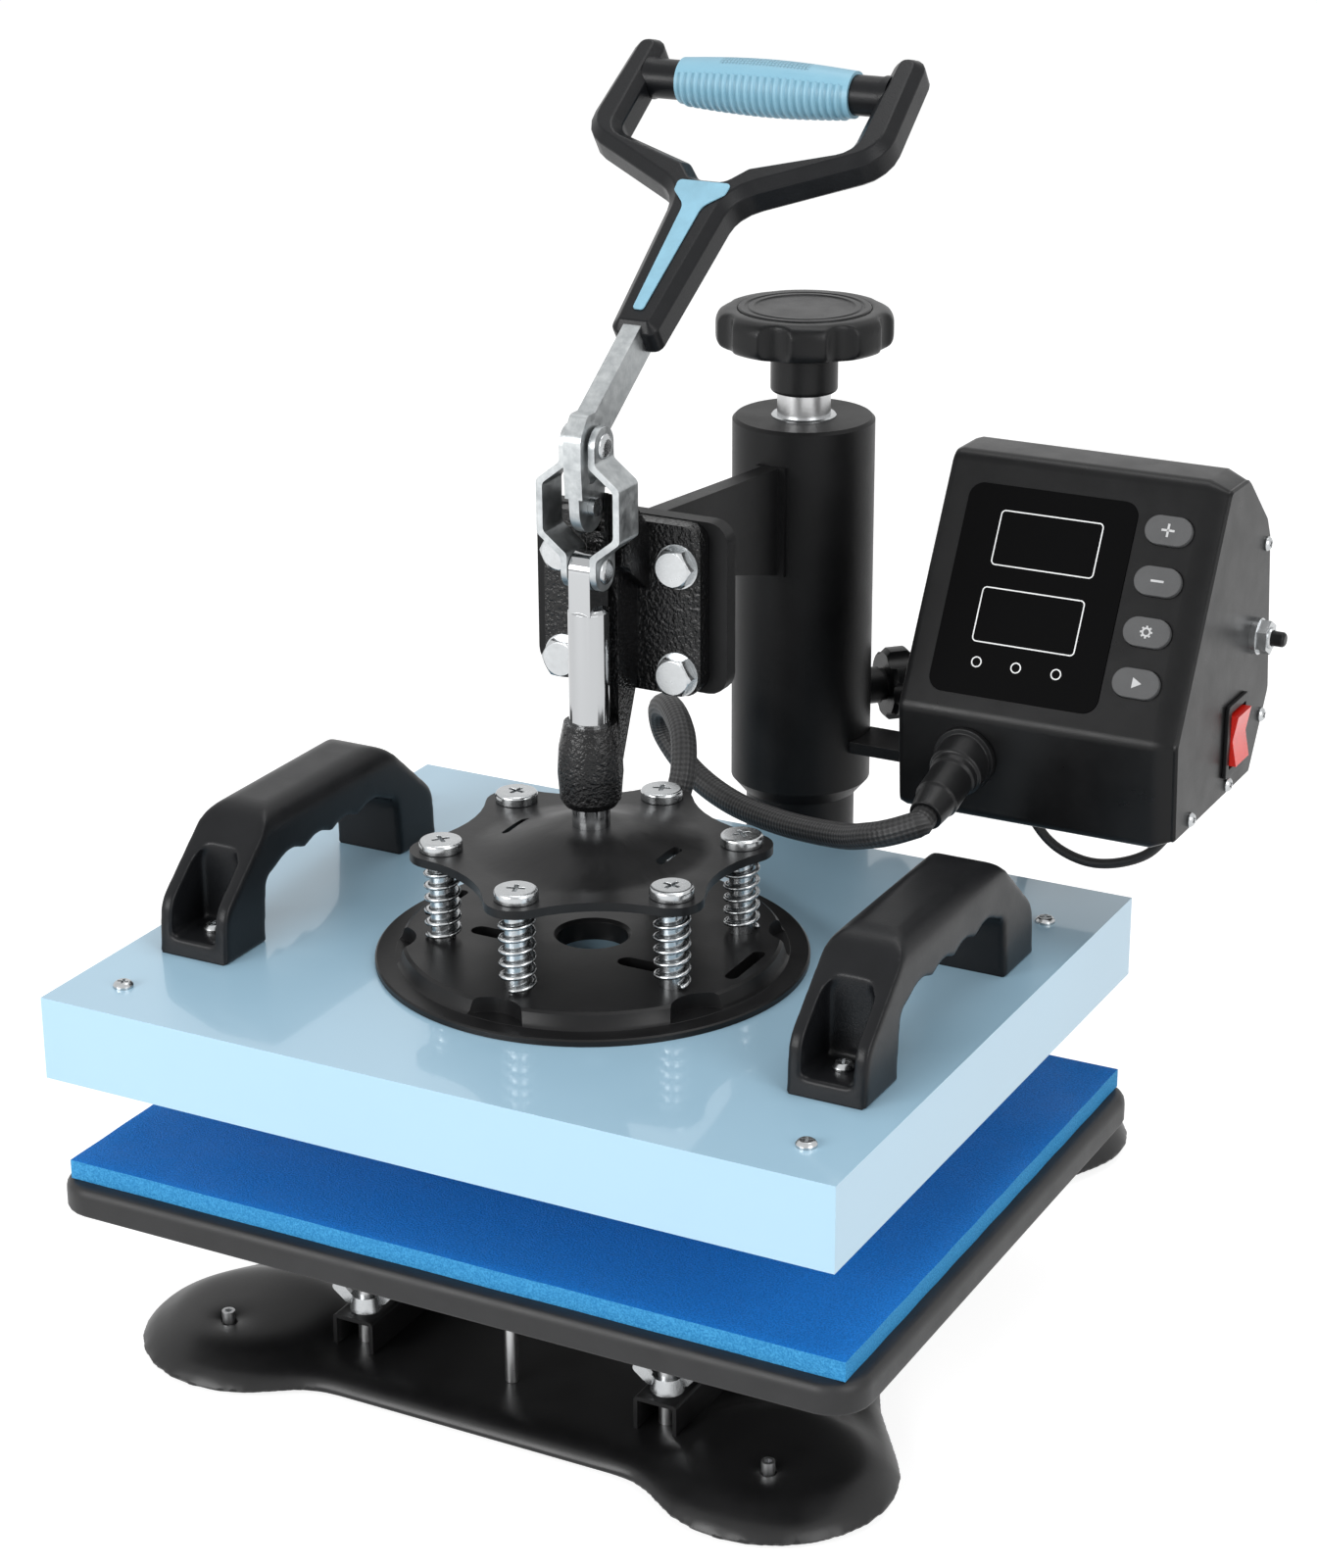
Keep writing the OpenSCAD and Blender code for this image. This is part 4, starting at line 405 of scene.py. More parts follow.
def steel_turned():
    f = Finish("steel_turned", (0.58, 0.585, 0.59), 0.28, 1.0)
    rings = (f.axes(f.place)[2] * (2 * pi / RING_PITCH)).wave()
    f.feed("Roughness", 0.24 + f.noise(300, 3.0) * 0.14)
    f.bump(rings + f.noise(900, 2.0) * 0.5, 0.00002, 0.4)
    return f.material


def aluminium_milled():
    f = Finish("aluminium_milled", (0.66, 0.67, 0.68), 0.34, 1.0)
    marks = f.noise(1.0, 3.0, 0.6, f.stretched((40, 1400, 40)))
    f.feed("Roughness", 0.26 + marks * 0.18)
    f.bump(marks, 0.00004, 0.5)
    return f.material


def brass_turned():
    f = Finish("brass_turned", (0.62, 0.46, 0.18), 0.3, 1.0)
    f.uneven(220, 0.1, 0.12)
    return f.material


metal_zinc, metal_strip, metal_chrome = zinc_bright(), zinc_strip(), chrome_bright()
metal_steel, metal_aluminium, metal_brass = steel_turned(), aluminium_milled(), brass_turned()
print("metals ready")

# %% [markdown]
# Plastics get a spark-eroded mould texture: a very fine even grain that softens the highlight. The
# grip and the inlay share one pale blue, the buttons one grey, and the rocker a clear bright red.

# %% Plastics and rubber
PALE_BLUE = (0.25, 0.485, 0.62)


def moulded(name, colour, roughness, grain=2400, depth=0.00009, **sockets):
    f = Finish(name, colour, roughness, **sockets)
    f.uneven(70, 0.08, 0.1)
    f.bump(f.noise(grain, 2.0) + f.cells(grain * 0.6) * 0.4, depth, 0.5)
    return f.material


plastic_box = moulded("plastic_box", (0.0055, 0.0056, 0.006), 0.31, depth=0.00006, specular_ior_level=0.19)
plastic_handle = moulded("plastic_handle", (0.0075, 0.008, 0.0092), 0.33, 1700, specular_ior_level=0.2)
plastic_knob = moulded("plastic_knob", (0.0075, 0.0077, 0.0082), 0.36, 2000, specular_ior_level=0.23)
plastic_blue = moulded("plastic_blue", PALE_BLUE, 0.42, 1900)
plastic_grey = moulded("plastic_grey", (0.085, 0.086, 0.088), 0.5, 2600, specular_ior_level=0.3)
plastic_red = moulded("plastic_red", (0.78, 0.022, 0.014), 0.2, 500, 0.00004,
                      coat_weight=0.2, coat_roughness=0.08)
plastic_panel = moulded("plastic_panel", (0.0022, 0.0022, 0.0024), 0.5, 900, 0.00003,
                        specular_ior_level=0.03)
ink_white = moulded("ink_white", (0.86, 0.87, 0.87), 0.5, 3000, 0.00003)
ink_pale = moulded("ink_pale", (0.52, 0.525, 0.53), 0.5, 3000, 0.00003)
rubber_black = moulded("rubber_black", (0.011, 0.011, 0.0112), 0.62, 1100, 0.00014)
print("plastics ready")

# %% [markdown]
# The grip is the same pale blue with a patch of moulded dimples along its top, about four rows, and
# grooves between its ribs. Shade is painted into the blue: darker between the dimples and in the
# grooves. Both are drawn in the lever's own plane: a Mapping node undoes the lean, the angle round the
# grip gives the row of a dimple, two waves multiplied give the dots, and one wave along the grip finds the
# grooves.

# %% Dimpled grip
GRIP_R, GRIP_LONG = 12.3 * MM, 86 * MM
DIMPLE, PATCH_HALF, PATCH_TURN, PATCH_SPAN = 3.4 * MM, 22 * MM, radians(19), radians(16)
RIBS, RIBBED_SHARE, RIB_START = 22, 0.94, 0.625
RIB_PITCH, RIB_TURN, RIB_PLANE = GRIP_LONG * RIBBED_SHARE / RIBS, radians(-75), 2 * MM
GROOVE_SHADE, DIMPLE_SHADE = 0.6, 0.5


def grip_blue():
    f = Finish("grip_blue", PALE_BLUE, 0.42)
    cloud = f.uneven(70, 0.08, 0.06)
    grip_axis = (LEVER @ Matrix.Translation((0, GRIP_REACH, 0))).inverted().to_translation()
    x, p, n = f.axes(f.node("ShaderNodeMapping", {}, {
        "Vector": f.place, "Location": grip_axis, "Rotation": (-LEVER_TILT, 0, 0)}))
    turn = p.turn_from(n)
    rows = (turn * (2 * pi * GRIP_R / DIMPLE)).wave() * (x * (2 * pi / DIMPLE)).wave()
    inside = (PATCH_HALF - x.size()).above(0.0) * (PATCH_SPAN - (turn - PATCH_TURN).size()).above(0.0)
    dots = f.spread(rows.size(), 0.06, 0.4)
    ribbed = (p * sin(RIB_TURN) - n * cos(RIB_TURN)).above(RIB_PLANE)
    groove = f.spread((x * (2 * pi / RIB_PITCH) - 2 * pi * RIB_START).wave(), 0.1, 0.9)
    # Painted shade: the rib grooves and the gaps between the dimples are darkened towards a deep blue.
    shade = ribbed * groove * GROOVE_SHADE + inside * (1 - dots) * DIMPLE_SHADE
    skin = f.mix(cloud, (0.235, 0.47, 0.605), (0.262, 0.5, 0.632))
    f.feed("Base Color", f.mix(shade, skin, (0.1, 0.25, 0.34)))
    f.bump(dots * inside + f.noise(1900, 2.0) * 0.1, 0.0003)
    return f.material


plastic_grip = grip_blue()
print("grip finish ready")

# %% [markdown]
# The pad is closed-cell silicone foam. Its top skin is a deep blue with paler and darker cells, and
# the cut edge is painted a lighter blue, as a side that catches more light. The normal tells top from edge.

# %% Foam, wool, board and braid
STRANDS, BRAID_PITCH = 8, 4.6 * MM


def foam_blue():
    f = Finish("foam_blue", (0.018, 0.16, 0.5), 0.62, specular_ior_level=0.12)
    cells = f.cells(900)
    specks = f.spread(f.noise(1300, 2.0, 0.6), 0.36, 0.66)
    cloud = f.spread(f.noise(35, 3.0), 0.3, 0.7)
    skin = f.mix(specks, (0.008, 0.15, 0.52), (0.02, 0.25, 0.78))
    # Painted light: the sides get a paler blue than the top, as sides lit more directly.
    edge = f.mix(specks, (0.026, 0.22, 0.5), (0.07, 0.37, 0.7))
    normal = f.axes(f.node("ShaderNodeNewGeometry", out="Normal"))
    top = f.spread(normal[2], 0.35, 0.8)
    f.feed("Base Color", f.mix(top, edge, skin))
    f.feed("Roughness", 0.55 + cloud * 0.15)
    f.bump(specks + cells * 0.8, 0.0003, 0.6)
    return f.material


def wool_cream():
    f = Finish("wool_cream", (0.8, 0.76, 0.66), 0.9)
    fibres = f.noise(1.0, 5.0, 0.7, f.stretched((90, 90, 900)))
    f.feed("Base Color", f.mix(fibres, (0.6, 0.55, 0.44), (0.86, 0.83, 0.74)))
    f.bump(fibres, 0.0008)
    return f.material


def board_green():
    f = Finish("board_green", (0.03, 0.14, 0.06), 0.35)
    tracks = f.cells(240, "DISTANCE_TO_EDGE").above(0.08)
    f.feed("Base Color", f.mix(tracks, (0.06, 0.24, 0.1), (0.02, 0.11, 0.045)))
    f.bump(tracks, 0.00003)
    return f.material


def braid_black():
    f = Finish("braid_black", (0.018, 0.018, 0.019), 0.55)
    uv = f.axes(f.node("ShaderNodeTexCoord", out="UV"))
    turns, run = uv[0] * (2 * pi * STRANDS), uv[1] * (2 * pi / BRAID_PITCH)
    over, under = (run + turns).wave(), (run - turns).wave()
    weave = f.spread(over * under, -0.7, 0.7)
    f.feed("Base Color", f.mix(weave, (0.006, 0.006, 0.0065), (0.03, 0.03, 0.031)))
    f.feed("Roughness", 0.62 - weave * 0.14)
    f.bump(weave, 0.0004, 0.7)
    return f.material


foam_pad, wool_core, green_board, braid_sleeve = foam_blue(), wool_cream(), board_green(), braid_black()
heater_cable.data.materials.append(braid_sleeve)
rear_lead.data.materials.append(rubber_black)
print("soft finishes ready")

# %% [markdown]
# Real edges are never knife-sharp. For most parts the quickest honest way is to copy the solid,
# weld its loose triangles, dissolve what lies in one plane, and let a Bevel modifier round the
# edges that are left. The copy then stands for the solid.

# %% Soften an edge
body_of = {n: b for b, members in frame["record"]["behaviour"]["bodies"].items() for n in members}
WELD, FLAT, SHARP, FLAT_WEIGHT = 1e-5, radians(0.6), radians(28), 80


def pick(piece):
    bpy.ops.object.select_all(action="DESELECT")
    piece.select_set(True)
    bpy.context.view_layer.objects.active = piece


def apply_all(piece):
    pick(piece)
    for modifier in list(piece.modifiers):
        bpy.ops.object.modifier_apply(modifier=modifier.name)


def finish_with(piece, material):
    piece.data.materials.clear()
    piece.data.materials.append(material)


def copy_of(node, name=None):
    """A welded copy of a solid, ready to be worked on."""
    piece = bpy.data.objects.new(name or node + "_soft", nodes[node].data.copy())
    bpy.context.scene.collection.objects.link(piece)
    pick(piece)
    bpy.ops.mesh.customdata_custom_splitnormals_clear()
    bpy.ops.object.mode_set(mode="EDIT")
    bpy.ops.mesh.select_all(action="SELECT")
    bpy.ops.mesh.remove_doubles(threshold=WELD)
    bpy.ops.mesh.dissolve_limited(angle_limit=FLAT)
    bpy.ops.object.mode_set(mode="OBJECT")
    return piece


def stand_for(piece, node, material):
    finish_with(piece, material)
    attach(piece, body_of[node])
    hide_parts(node)


def smooth(piece, crisp=40.0):
    """Shades round what is round, while the broad flats keep their own true normal."""
    pick(piece)
    bpy.ops.object.shade_smooth_by_angle(angle=radians(crisp))
    flats = piece.modifiers.new("flats", "WEIGHTED_NORMAL")
    flats.keep_sharp, flats.weight = True, FLAT_WEIGHT
    apply_all(piece)


def soften(node, material, radius_mm, segments):
    """A copy of a solid with rounded edges, standing for it."""
    piece = copy_of(node)
    edge = piece.modifiers.new("edge", "BEVEL")
    edge.width, edge.segments = radius_mm * MM, segments
    edge.limit_method, edge.angle_limit = "ANGLE", SHARP
    edge.use_clamp_overlap, edge.miter_outer = True, "MITER_ARC"
    apply_all(piece)
    smooth(piece)
    stand_for(piece, node, material)


def coat(node, material):
    """Gives a solid that keeps its own shape a finish."""
    piece = nodes[node]
    if not piece.material_slots:
        piece.data.materials.append(material)
    for place in piece.material_slots:
        place.material = material


# %% [markdown]
# The stand: a pressed base on rubber feet, two folded rails, the studs with their wing nuts, and
# the column with its sleeve. The feet, the studs and the inner parts keep the shape of their solids
# and get a finish only.

# %% Dress the stand and column
for node, material, slot, radius_mm, segments in (
        ("rail_left", paint_black, "black_enamel", 0.5, 2),
        ("rail_right", paint_black, "black_enamel", 0.5, 2),
        ("lower_platen", paint_grey, "grey_casting", 0.8, 2),
        ("wing_nuts", metal_zinc, "bright_zinc", 0.5, 2),
        ("post_bolts", metal_zinc, "bright_zinc", 0.4, 2),
        ("column_post", paint_powder, "satin_black", 0.5, 2),
        ("column_sleeve", paint_powder, "satin_black", 0.8, 3),
        ("knob_cap", plastic_knob, "black_plastic", 0.25, 2),
        ("lock_knob", plastic_knob, "black_plastic", 1.2, 3)):
    soften(node, material, radius_mm, segments)
for node, material in (
        ("rubber_feet", rubber_black), ("foot_screws", metal_aluminium), ("platen_studs", metal_steel),
        ("screw_nut", metal_brass), ("thrust_bearing", metal_zinc), ("pressure_screw", metal_steel)):
    coat(node, material)
print("stand dressed")

# %% [markdown]
# The support rod in the middle is a plain bar that stands on the base. It is made new from a
# cylinder as tall as its solid, and a Bevel modifier breaks the edge at both ends.

# %% Support rod
ROD_R, ROD_EDGE = 3 * MM, 0.4 * MM
rod_low, rod_high = (Vector(c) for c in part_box("support_rod"))
rod_middle, rod_length = (rod_low + rod_high) / 2, rod_high.z - rod_low.z
bpy.ops.object.select_all(action="DESELECT")
bpy.ops.mesh.primitive_cylinder_add(vertices=32, radius=ROD_R, depth=rod_length, location=rod_middle)
rod = bpy.context.object
rod.name = "support_rod_plain"
bpy.ops.object.transform_apply(location=True, rotation=True, scale=True)
rod_edge = rod.modifiers.new("edge", "BEVEL")
rod_edge.width, rod_edge.segments, rod_edge.angle_limit = ROD_EDGE, 2, radians(40)
apply_all(rod)
smooth(rod)
stand_for(rod, "support_rod", metal_steel)
print("support rod", round(rod_length, 4), "m")

# %% [markdown]
# The base is drawn from one thin sheet, so its lobes swell straight out of the rolled rim. In the
# solid the rim and the lobes meet in a shallow valley. A Remesh modifier gives the copy an even
# net, a Shrinkwrap modifier lays the net back on the solid's true skin, and a short Smooth evens
# it out all over. A longer Smooth that moves the upper skin alone then draws the valley out, as
# the press did.

# %% Drawn base
RELAX_STEP = 0.5


def melt(node, name, grid_mm, share, rounds, clean=3):
    """A copy of a solid on an even net, smoothed where a share from 0 to 1 allows it."""
    piece = copy_of(node, name)
    net = piece.modifiers.new("net", "REMESH")
    net.mode, net.voxel_size = "VOXEL", grid_mm * MM
    true_skin = piece.modifiers.new("true_skin", "SHRINKWRAP")
    true_skin.target, true_skin.wrap_method = nodes[node], "NEAREST_SURFACEPOINT"
    apply_all(piece)
    allowed = piece.vertex_groups.new(name="allowed")
    for v in piece.data.vertices:
        allowed.add([v.index], min(1.0, max(0.0, share(v))), "REPLACE")
    for step, turns, group in (("even", clean, ""), ("relax", rounds, "allowed")):
        relax = piece.modifiers.new(step, "SMOOTH")
        relax.factor, relax.iterations, relax.vertex_group = RELAX_STEP, turns, group
    apply_all(piece)
    bpy.ops.object.shade_smooth_by_angle(angle=radians(50))
    print(name, len(piece.data.polygons), "faces")
    return piece


def upper_skin(v):
    """0 on the sides and below, rising to 1 where the skin looks up."""
    return v.normal.z * 2 - 0.2


base = melt("base_plate", "base_drawn", grid_mm=1.9, share=upper_skin, rounds=85, clean=8)
stand_for(base, "base_plate", paint_base)

# %% [markdown]
# The pressure knob is a thick moulding: its flutes fade into a broad round shoulder. The same way
# is used on a finer net, and the longer smoothing leaves out the seat of the cap in the middle.

# %% Pressure knob
KNOB_AXIS, SEAT_R, SEAT_FADE = at(0, 0, 0), 32.5 * MM, 2 * MM


def past_seat(v):
    """0 on the seat of the cap, rising to 1 outside it."""
    return (hypot(v.co.x - KNOB_AXIS.x, v.co.y - KNOB_AXIS.y) - SEAT_R) / SEAT_FADE


knob = melt("pressure_knob", "knob_moulded", grid_mm=0.9, share=past_seat, rounds=14)
stand_for(knob, "pressure_knob", plastic_knob)

# %% [markdown]
# The press head: a welded arm, the rough casting bolted to it, the ram, the toggle and the lever
# with its blue inlay. The grip keeps the shape of its solid, and only its shading is smoothed.

# %% Dress the press head and lever
for node, material, slot, radius_mm, segments in (
        ("arm_bracket", paint_powder, "satin_black", 0.8, 2),
        ("press_bracket", paint_cast, "black_enamel", 1.0, 3),
        ("bracket_bolts", metal_zinc, "bright_zinc", 0.5, 2),
        ("ram", metal_chrome, "chrome_steel", 0.4, 2),
        ("lever_bar", metal_strip, "bright_zinc", 0.6, 2),
        ("link_pins", metal_zinc, "bright_zinc", 0.4, 2),
        ("link_left", metal_strip, "bright_zinc", 0.7, 2),
        ("link_right", metal_strip, "bright_zinc", 0.7, 2),
        ("handle_inlay", plastic_blue, "blue_plastic", 0.3, 2)):
    soften(node, material, radius_mm, segments)
coat("pivot_pin", metal_zinc)
grip = copy_of("handle_grip")
smooth(grip, 24.0)
stand_for(grip, "handle_grip", plastic_grip)
print("press head dressed")

# %% [markdown]
# The handle yoke is one thick moulding with a broad chamfer all round. Its solid has two stubs and
# a socket whose rims lie too near the outline for so wide a bevel. So the copy first loses those
# faces and has its holes filled, then the outline gets its chamfer and a finer rounding, and the
# stubs are extruded again from a circle, each with the small flare that a mould gives it.

# %% Handle yoke
GRIP_HALF, ARM_IN, STUB_R, STUB_ROOT = GRIP_LONG / 2, 57.5 * MM, 9 * MM, 3 * MM
STEM_FOOT, SOCKET_DEPTH, SOCKET_X, SOCKET_N = 53 * MM, 32 * MM, 4.4 * MM, 8.2 * MM
YOKE_CHAMFER, YOKE_EDGE, FLARE, FLARE_GROW, SLACK = 4.2 * MM, 0.9 * MM, 1.5 * MM, 1.07, 0.2 * MM


def select_faces(piece, test):
    """In edit mode, selects the faces whose middle passes a test."""
    pick(piece)
    bpy.ops.object.mode_set(mode="EDIT")
    bpy.ops.mesh.select_mode(type="FACE")
    bpy.ops.mesh.select_all(action="DESELECT")
    bpy.ops.object.mode_set(mode="OBJECT")
    for face in piece.data.polygons:
        face.select = test(face.center)
    bpy.ops.object.mode_set(mode="EDIT")


def stub_or_socket(middle):
    """Whether a face lies on a stub that holds the grip, or in the socket of the lever bar."""
    x, p, n = LEVER.inverted() @ middle
    stub = abs(x) < ARM_IN - SLACK and hypot(p - GRIP_REACH, n) < STUB_R + SLACK
    in_reach = STEM_FOOT - MM < p < STEM_FOOT + SOCKET_DEPTH + MM
    return stub or (abs(x) < SOCKET_X and abs(n) < SOCKET_N and in_reach)


yoke = copy_of("handle_yoke")
select_faces(yoke, stub_or_socket)
bpy.ops.mesh.delete(type="FACE")
bpy.ops.mesh.select_all(action="SELECT")
bpy.ops.mesh.fill_holes(sides=0)
bpy.ops.mesh.select_all(action="SELECT")
bpy.ops.mesh.dissolve_limited(angle_limit=FLAT)
bpy.ops.mesh.normals_make_consistent(inside=False)
bpy.ops.mesh.select_mode(type="VERT")
bpy.ops.object.mode_set(mode="OBJECT")
for name, width, segments, sharp in (("chamfer", YOKE_CHAMFER, 1, 50), ("soft_edge", YOKE_EDGE, 3, 30)):
    edge = yoke.modifiers.new(name, "BEVEL")
    edge.width, edge.segments = width, segments
    edge.limit_method, edge.angle_limit = "ANGLE", radians(sharp)
apply_all(yoke)

stubs = []
for side in (-1, 1):
    bpy.ops.object.select_all(action="DESELECT")
    bpy.ops.mesh.primitive_circle_add(vertices=40, radius=STUB_R, fill_type="NGON", rotation=(0, pi / 2, 0))
    stub = bpy.context.object
    bpy.ops.object.transform_apply(location=True, rotation=True, scale=True)
    bpy.ops.object.mode_set(mode="EDIT")
    bpy.ops.mesh.select_all(action="SELECT")
    bpy.ops.transform.translate(value=(side * GRIP_HALF, 0, 0))
    for step, grow in ((ARM_IN - FLARE - GRIP_HALF, 1.0), (FLARE, FLARE_GROW), (STUB_ROOT, 1.0)):
        bpy.ops.mesh.extrude_region_move(TRANSFORM_OT_translate={"value": (side * step, 0, 0)})
        bpy.ops.transform.resize(value=(1, grow, grow), center_override=(0, 0, 0))
    bpy.ops.mesh.select_all(action="SELECT")
    bpy.ops.mesh.normals_make_consistent(inside=False)
    bpy.ops.object.mode_set(mode="OBJECT")
    stub.data.transform(LEVER @ Matrix.Translation((0, GRIP_REACH, 0)))
    stubs.append(stub)
pick(yoke)
for stub in stubs:
    stub.select_set(True)
bpy.ops.object.join()
smooth(yoke)
stand_for(yoke, "handle_yoke", plastic_handle)
print("yoke:", len(yoke.data.polygons), "faces")

# %% [markdown]
# The heated platen: cover, heated plate, disc, spider, bolts, screws and the gland of the cable.

# %% Dress the platen
for node, material, slot, radius_mm, segments in (
        ("platen_cover", paint_sky, "sky_enamel", 0.9, 3),
        ("mount_disc", paint_black, "black_enamel", 0.9, 3),
        ("spider_plate", paint_black, "black_enamel", 0.9, 3),
        ("shoulder_bolts", metal_zinc, "bright_zinc", 0.35, 2),
        ("cover_screws", metal_zinc, "bright_zinc", 0.3, 2),
        ("heat_plate", metal_aluminium, "bare_aluminium", 0.5, 2),
        ("cable_gland", plastic_handle, "black_plastic", 0.5, 2)):
    soften(node, material, radius_mm, segments)
print("platen dressed")

# %% [markdown]
# The grab handles fit the palm, so no edge on them is crisp: the shoulders, the rim of the screw
# pocket and the finger hollows all run into each other. They are melted as the knob was, on a net
# of about a millimetre, and only the foot that stands on the cover keeps its edge.

# %% Grab handles
FOOT_FADE = 4 * MM
for node in ("handle_left", "handle_right"):
    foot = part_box(node)[0][2]
    grab = melt(node, node + "_moulded", grid_mm=1.0,
                share=lambda v: (v.co.z - foot) / FOOT_FADE, rounds=22)
    stand_for(grab, node, plastic_handle)

# %% [markdown]
# The control box: a moulded shell on its bracket, its side panel, display, buttons, rocker and
# breaker, and the plug and glands of its leads. The circuit board inside gets a finish only.

# %% Dress the control box
for node, material, slot, radius_mm, segments in (
        ("box_shell", plastic_box, "satin_black", 0.8, 3),
        ("box_side_panel", plastic_box, "satin_black", 0.5, 2),
        ("display_panel", plastic_panel, "display_gloss", 0.3, 2),
        ("box_arm", paint_powder, "satin_black", 0.6, 2),
        ("switch_bezel", plastic_knob, "black_plastic", 0.4, 2),
        ("switch_rocker", plastic_red, "rocker_red", 0.6, 3),
        ("breaker_body", metal_zinc, "bright_zinc", 0.3, 2),
        ("breaker_button", plastic_knob, "black_plastic", 0.4, 2),
        ("box_screws", metal_zinc, "bright_zinc", 0.25, 2),
        ("cable_plug", plastic_knob, "black_plastic", 0.6, 2),
        ("rear_glands", rubber_black, "black_rubber", 0.4, 2),
        ("button_plus", plastic_grey, "button_grey", 0.9, 3),
        ("button_minus", plastic_grey, "button_grey", 0.9, 3),
        ("button_set", plastic_grey, "button_grey", 0.9, 3),
        ("button_start", plastic_grey, "button_grey", 0.9, 3)):
    soften(node, material, radius_mm, segments)
coat("circuit_board", green_board)
print("control box dressed")

# %% [markdown]
# Each spring is a wire wound on a mandrel. A small circle stands at the winding radius, and the
# Screw modifier carries it round and up. One spring is wound and copied to the six bolts.

# %% Wind the springs
BOLT_CIRCLE, BOLTS, FIRST_BOLT = 66 * MM, 6, radians(30)
SPRING_FOOT, SPRING_TOP, SEAT_GAP = 198 * MM, 235.5 * MM, 0.3 * MM
WIRE_R, WIRE_SIDES, WINDING_R = 1.1 * MM, 10, 7.15 * MM
COILS, COIL_STEPS, FLOAT = 6, 22, 5 * MM

bpy.ops.object.select_all(action="DESELECT")
bpy.ops.mesh.primitive_circle_add(vertices=WIRE_SIDES, radius=WIRE_R, rotation=(pi / 2, 0, 0),
                                  location=(WINDING_R, 0, 0))
spring = bpy.context.object
spring.name = "springs_wound"
bpy.ops.object.transform_apply(location=True, rotation=True, scale=True)
winding = spring.modifiers.new("winding", "SCREW")
winding.axis, winding.steps, winding.render_steps = "Z", COIL_STEPS, COIL_STEPS
winding.iterations, winding.use_smooth_shade = COILS, True
winding.screw_offset = (SPRING_TOP - SPRING_FOOT - 2 * (WIRE_R + SEAT_GAP)) / COILS
apply_all(spring)
bpy.ops.object.mode_set(mode="EDIT")
bpy.ops.mesh.select_all(action="DESELECT")
bpy.ops.mesh.select_non_manifold()
bpy.ops.mesh.edge_face_add()
bpy.ops.mesh.select_all(action="SELECT")
bpy.ops.mesh.normals_make_consistent(inside=False)
bpy.ops.object.mode_set(mode="OBJECT")
ram_axis = at(0, HEAD_Y_MM, 0)
single = spring.data.copy()
copies = []
for i in range(BOLTS):
    turn = FIRST_BOLT + 2 * pi * i / BOLTS
    seat = Vector((BOLT_CIRCLE * cos(turn), BOLT_CIRCLE * sin(turn), SPRING_FOOT + WIRE_R + SEAT_GAP))
    mesh = spring.data if i == 0 else single.copy()
    mesh.transform(Matrix.Translation(ram_axis + seat) @ Matrix.Rotation(turn, 4, "Z"))
    if i:
        copies.append(bpy.data.objects.new("spring_copy", mesh))
        bpy.context.scene.collection.objects.link(copies[-1])
pick(spring)
for other in copies:
    other.select_set(True)
bpy.ops.object.join()
stand_for(spring, "press_springs", metal_zinc)
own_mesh(spring)
print("springs:", len(spring.data.polygons), "faces")

# %% [markdown]
# The pad and the wool under the cover are soft goods. Foam this dense keeps its slab shape: it is
# cut square with a long knife. A knife never runs quite true, so the block is divided finely and its
# rim moved by a slow ripple. The wool starts from its solid, which has the holes for the screws.

# %% Foam pad and wool
KNIFE_CUTS, RIPPLES = 44, 90


def cut_block(node, name):
    """A block cut square to the size of a solid."""
    low, high = (Vector(c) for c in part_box(node))
    bpy.ops.object.select_all(action="DESELECT")
    bpy.ops.mesh.primitive_cube_add(size=1)
    piece = bpy.context.object
    piece.name = name
    piece.scale, piece.location = high - low, (low + high) / 2
    bpy.ops.object.transform_apply(location=True, rotation=True, scale=True)
    bpy.ops.object.mode_set(mode="EDIT")
    bpy.ops.mesh.select_all(action="SELECT")
    bpy.ops.mesh.subdivide(number_cuts=KNIFE_CUTS)
    bpy.ops.object.mode_set(mode="OBJECT")
    return piece


def slab(piece, node, material, ripple_mm, edge_mm):
    """Rounds a block's edges by a hair, ripples its rim and lets it stand for a soft solid."""
    edge = piece.modifiers.new("edge", "BEVEL")
    edge.width, edge.segments, edge.limit_method, edge.angle_limit = edge_mm * MM, 2, "ANGLE", radians(25)
    apply_all(piece)
    low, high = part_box(node)
    middle = (Vector(low) + Vector(high)) / 2
    for v in piece.data.vertices:
        wave = sin(RIPPLES * (v.co.x + 2 * v.co.y))
        out = (v.co - middle) * Vector((1, 1, 0))
        if out.length:
            v.co -= out.normalized() * ripple_mm * MM * (0.5 + 0.5 * wave)
    bpy.ops.object.shade_smooth_by_angle(angle=radians(40))
    stand_for(piece, node, material)


slab(cut_block("silicone_pad", "pad_foam_slab"), "silicone_pad", foam_pad,
     ripple_mm=0.25, edge_mm=0.08)
slab(copy_of("insulation", "wool_slab"), "insulation", wool_core,
     ripple_mm=0.6, edge_mm=0.6)
print("pad and wool ready")

# %% [markdown]
# The display panel carries two windows with a white outline and three ring lamps. They lie on the
# sloping face, so they are drawn flat and then carried to the face by one matrix.

# %% Print on the display
FACE_LEAN = radians(28.7)
FACE_FOOT = at(0, -95, 284)
FACE = Matrix.Translation(FACE_FOOT) @ Matrix.Rotation(pi / 2 - FACE_LEAN, 4, "X")
PANEL_PROUD, INK_T = 0.6 * MM, 0.06 * MM
WINDOWS_MM = {"window_upper": (123, 172, 69, 94.5), "window_lower": (122, 171, 33.5, 59)}
WINDOW_CORNER_MM, LINE_MM, CORNER_STEPS = 2.2, 0.55, 6
LAMPS_X_MM, LAMPS_P_MM, LAMP_R_MM = (126.6, 145.5, 164.6), 24.5, 2.5


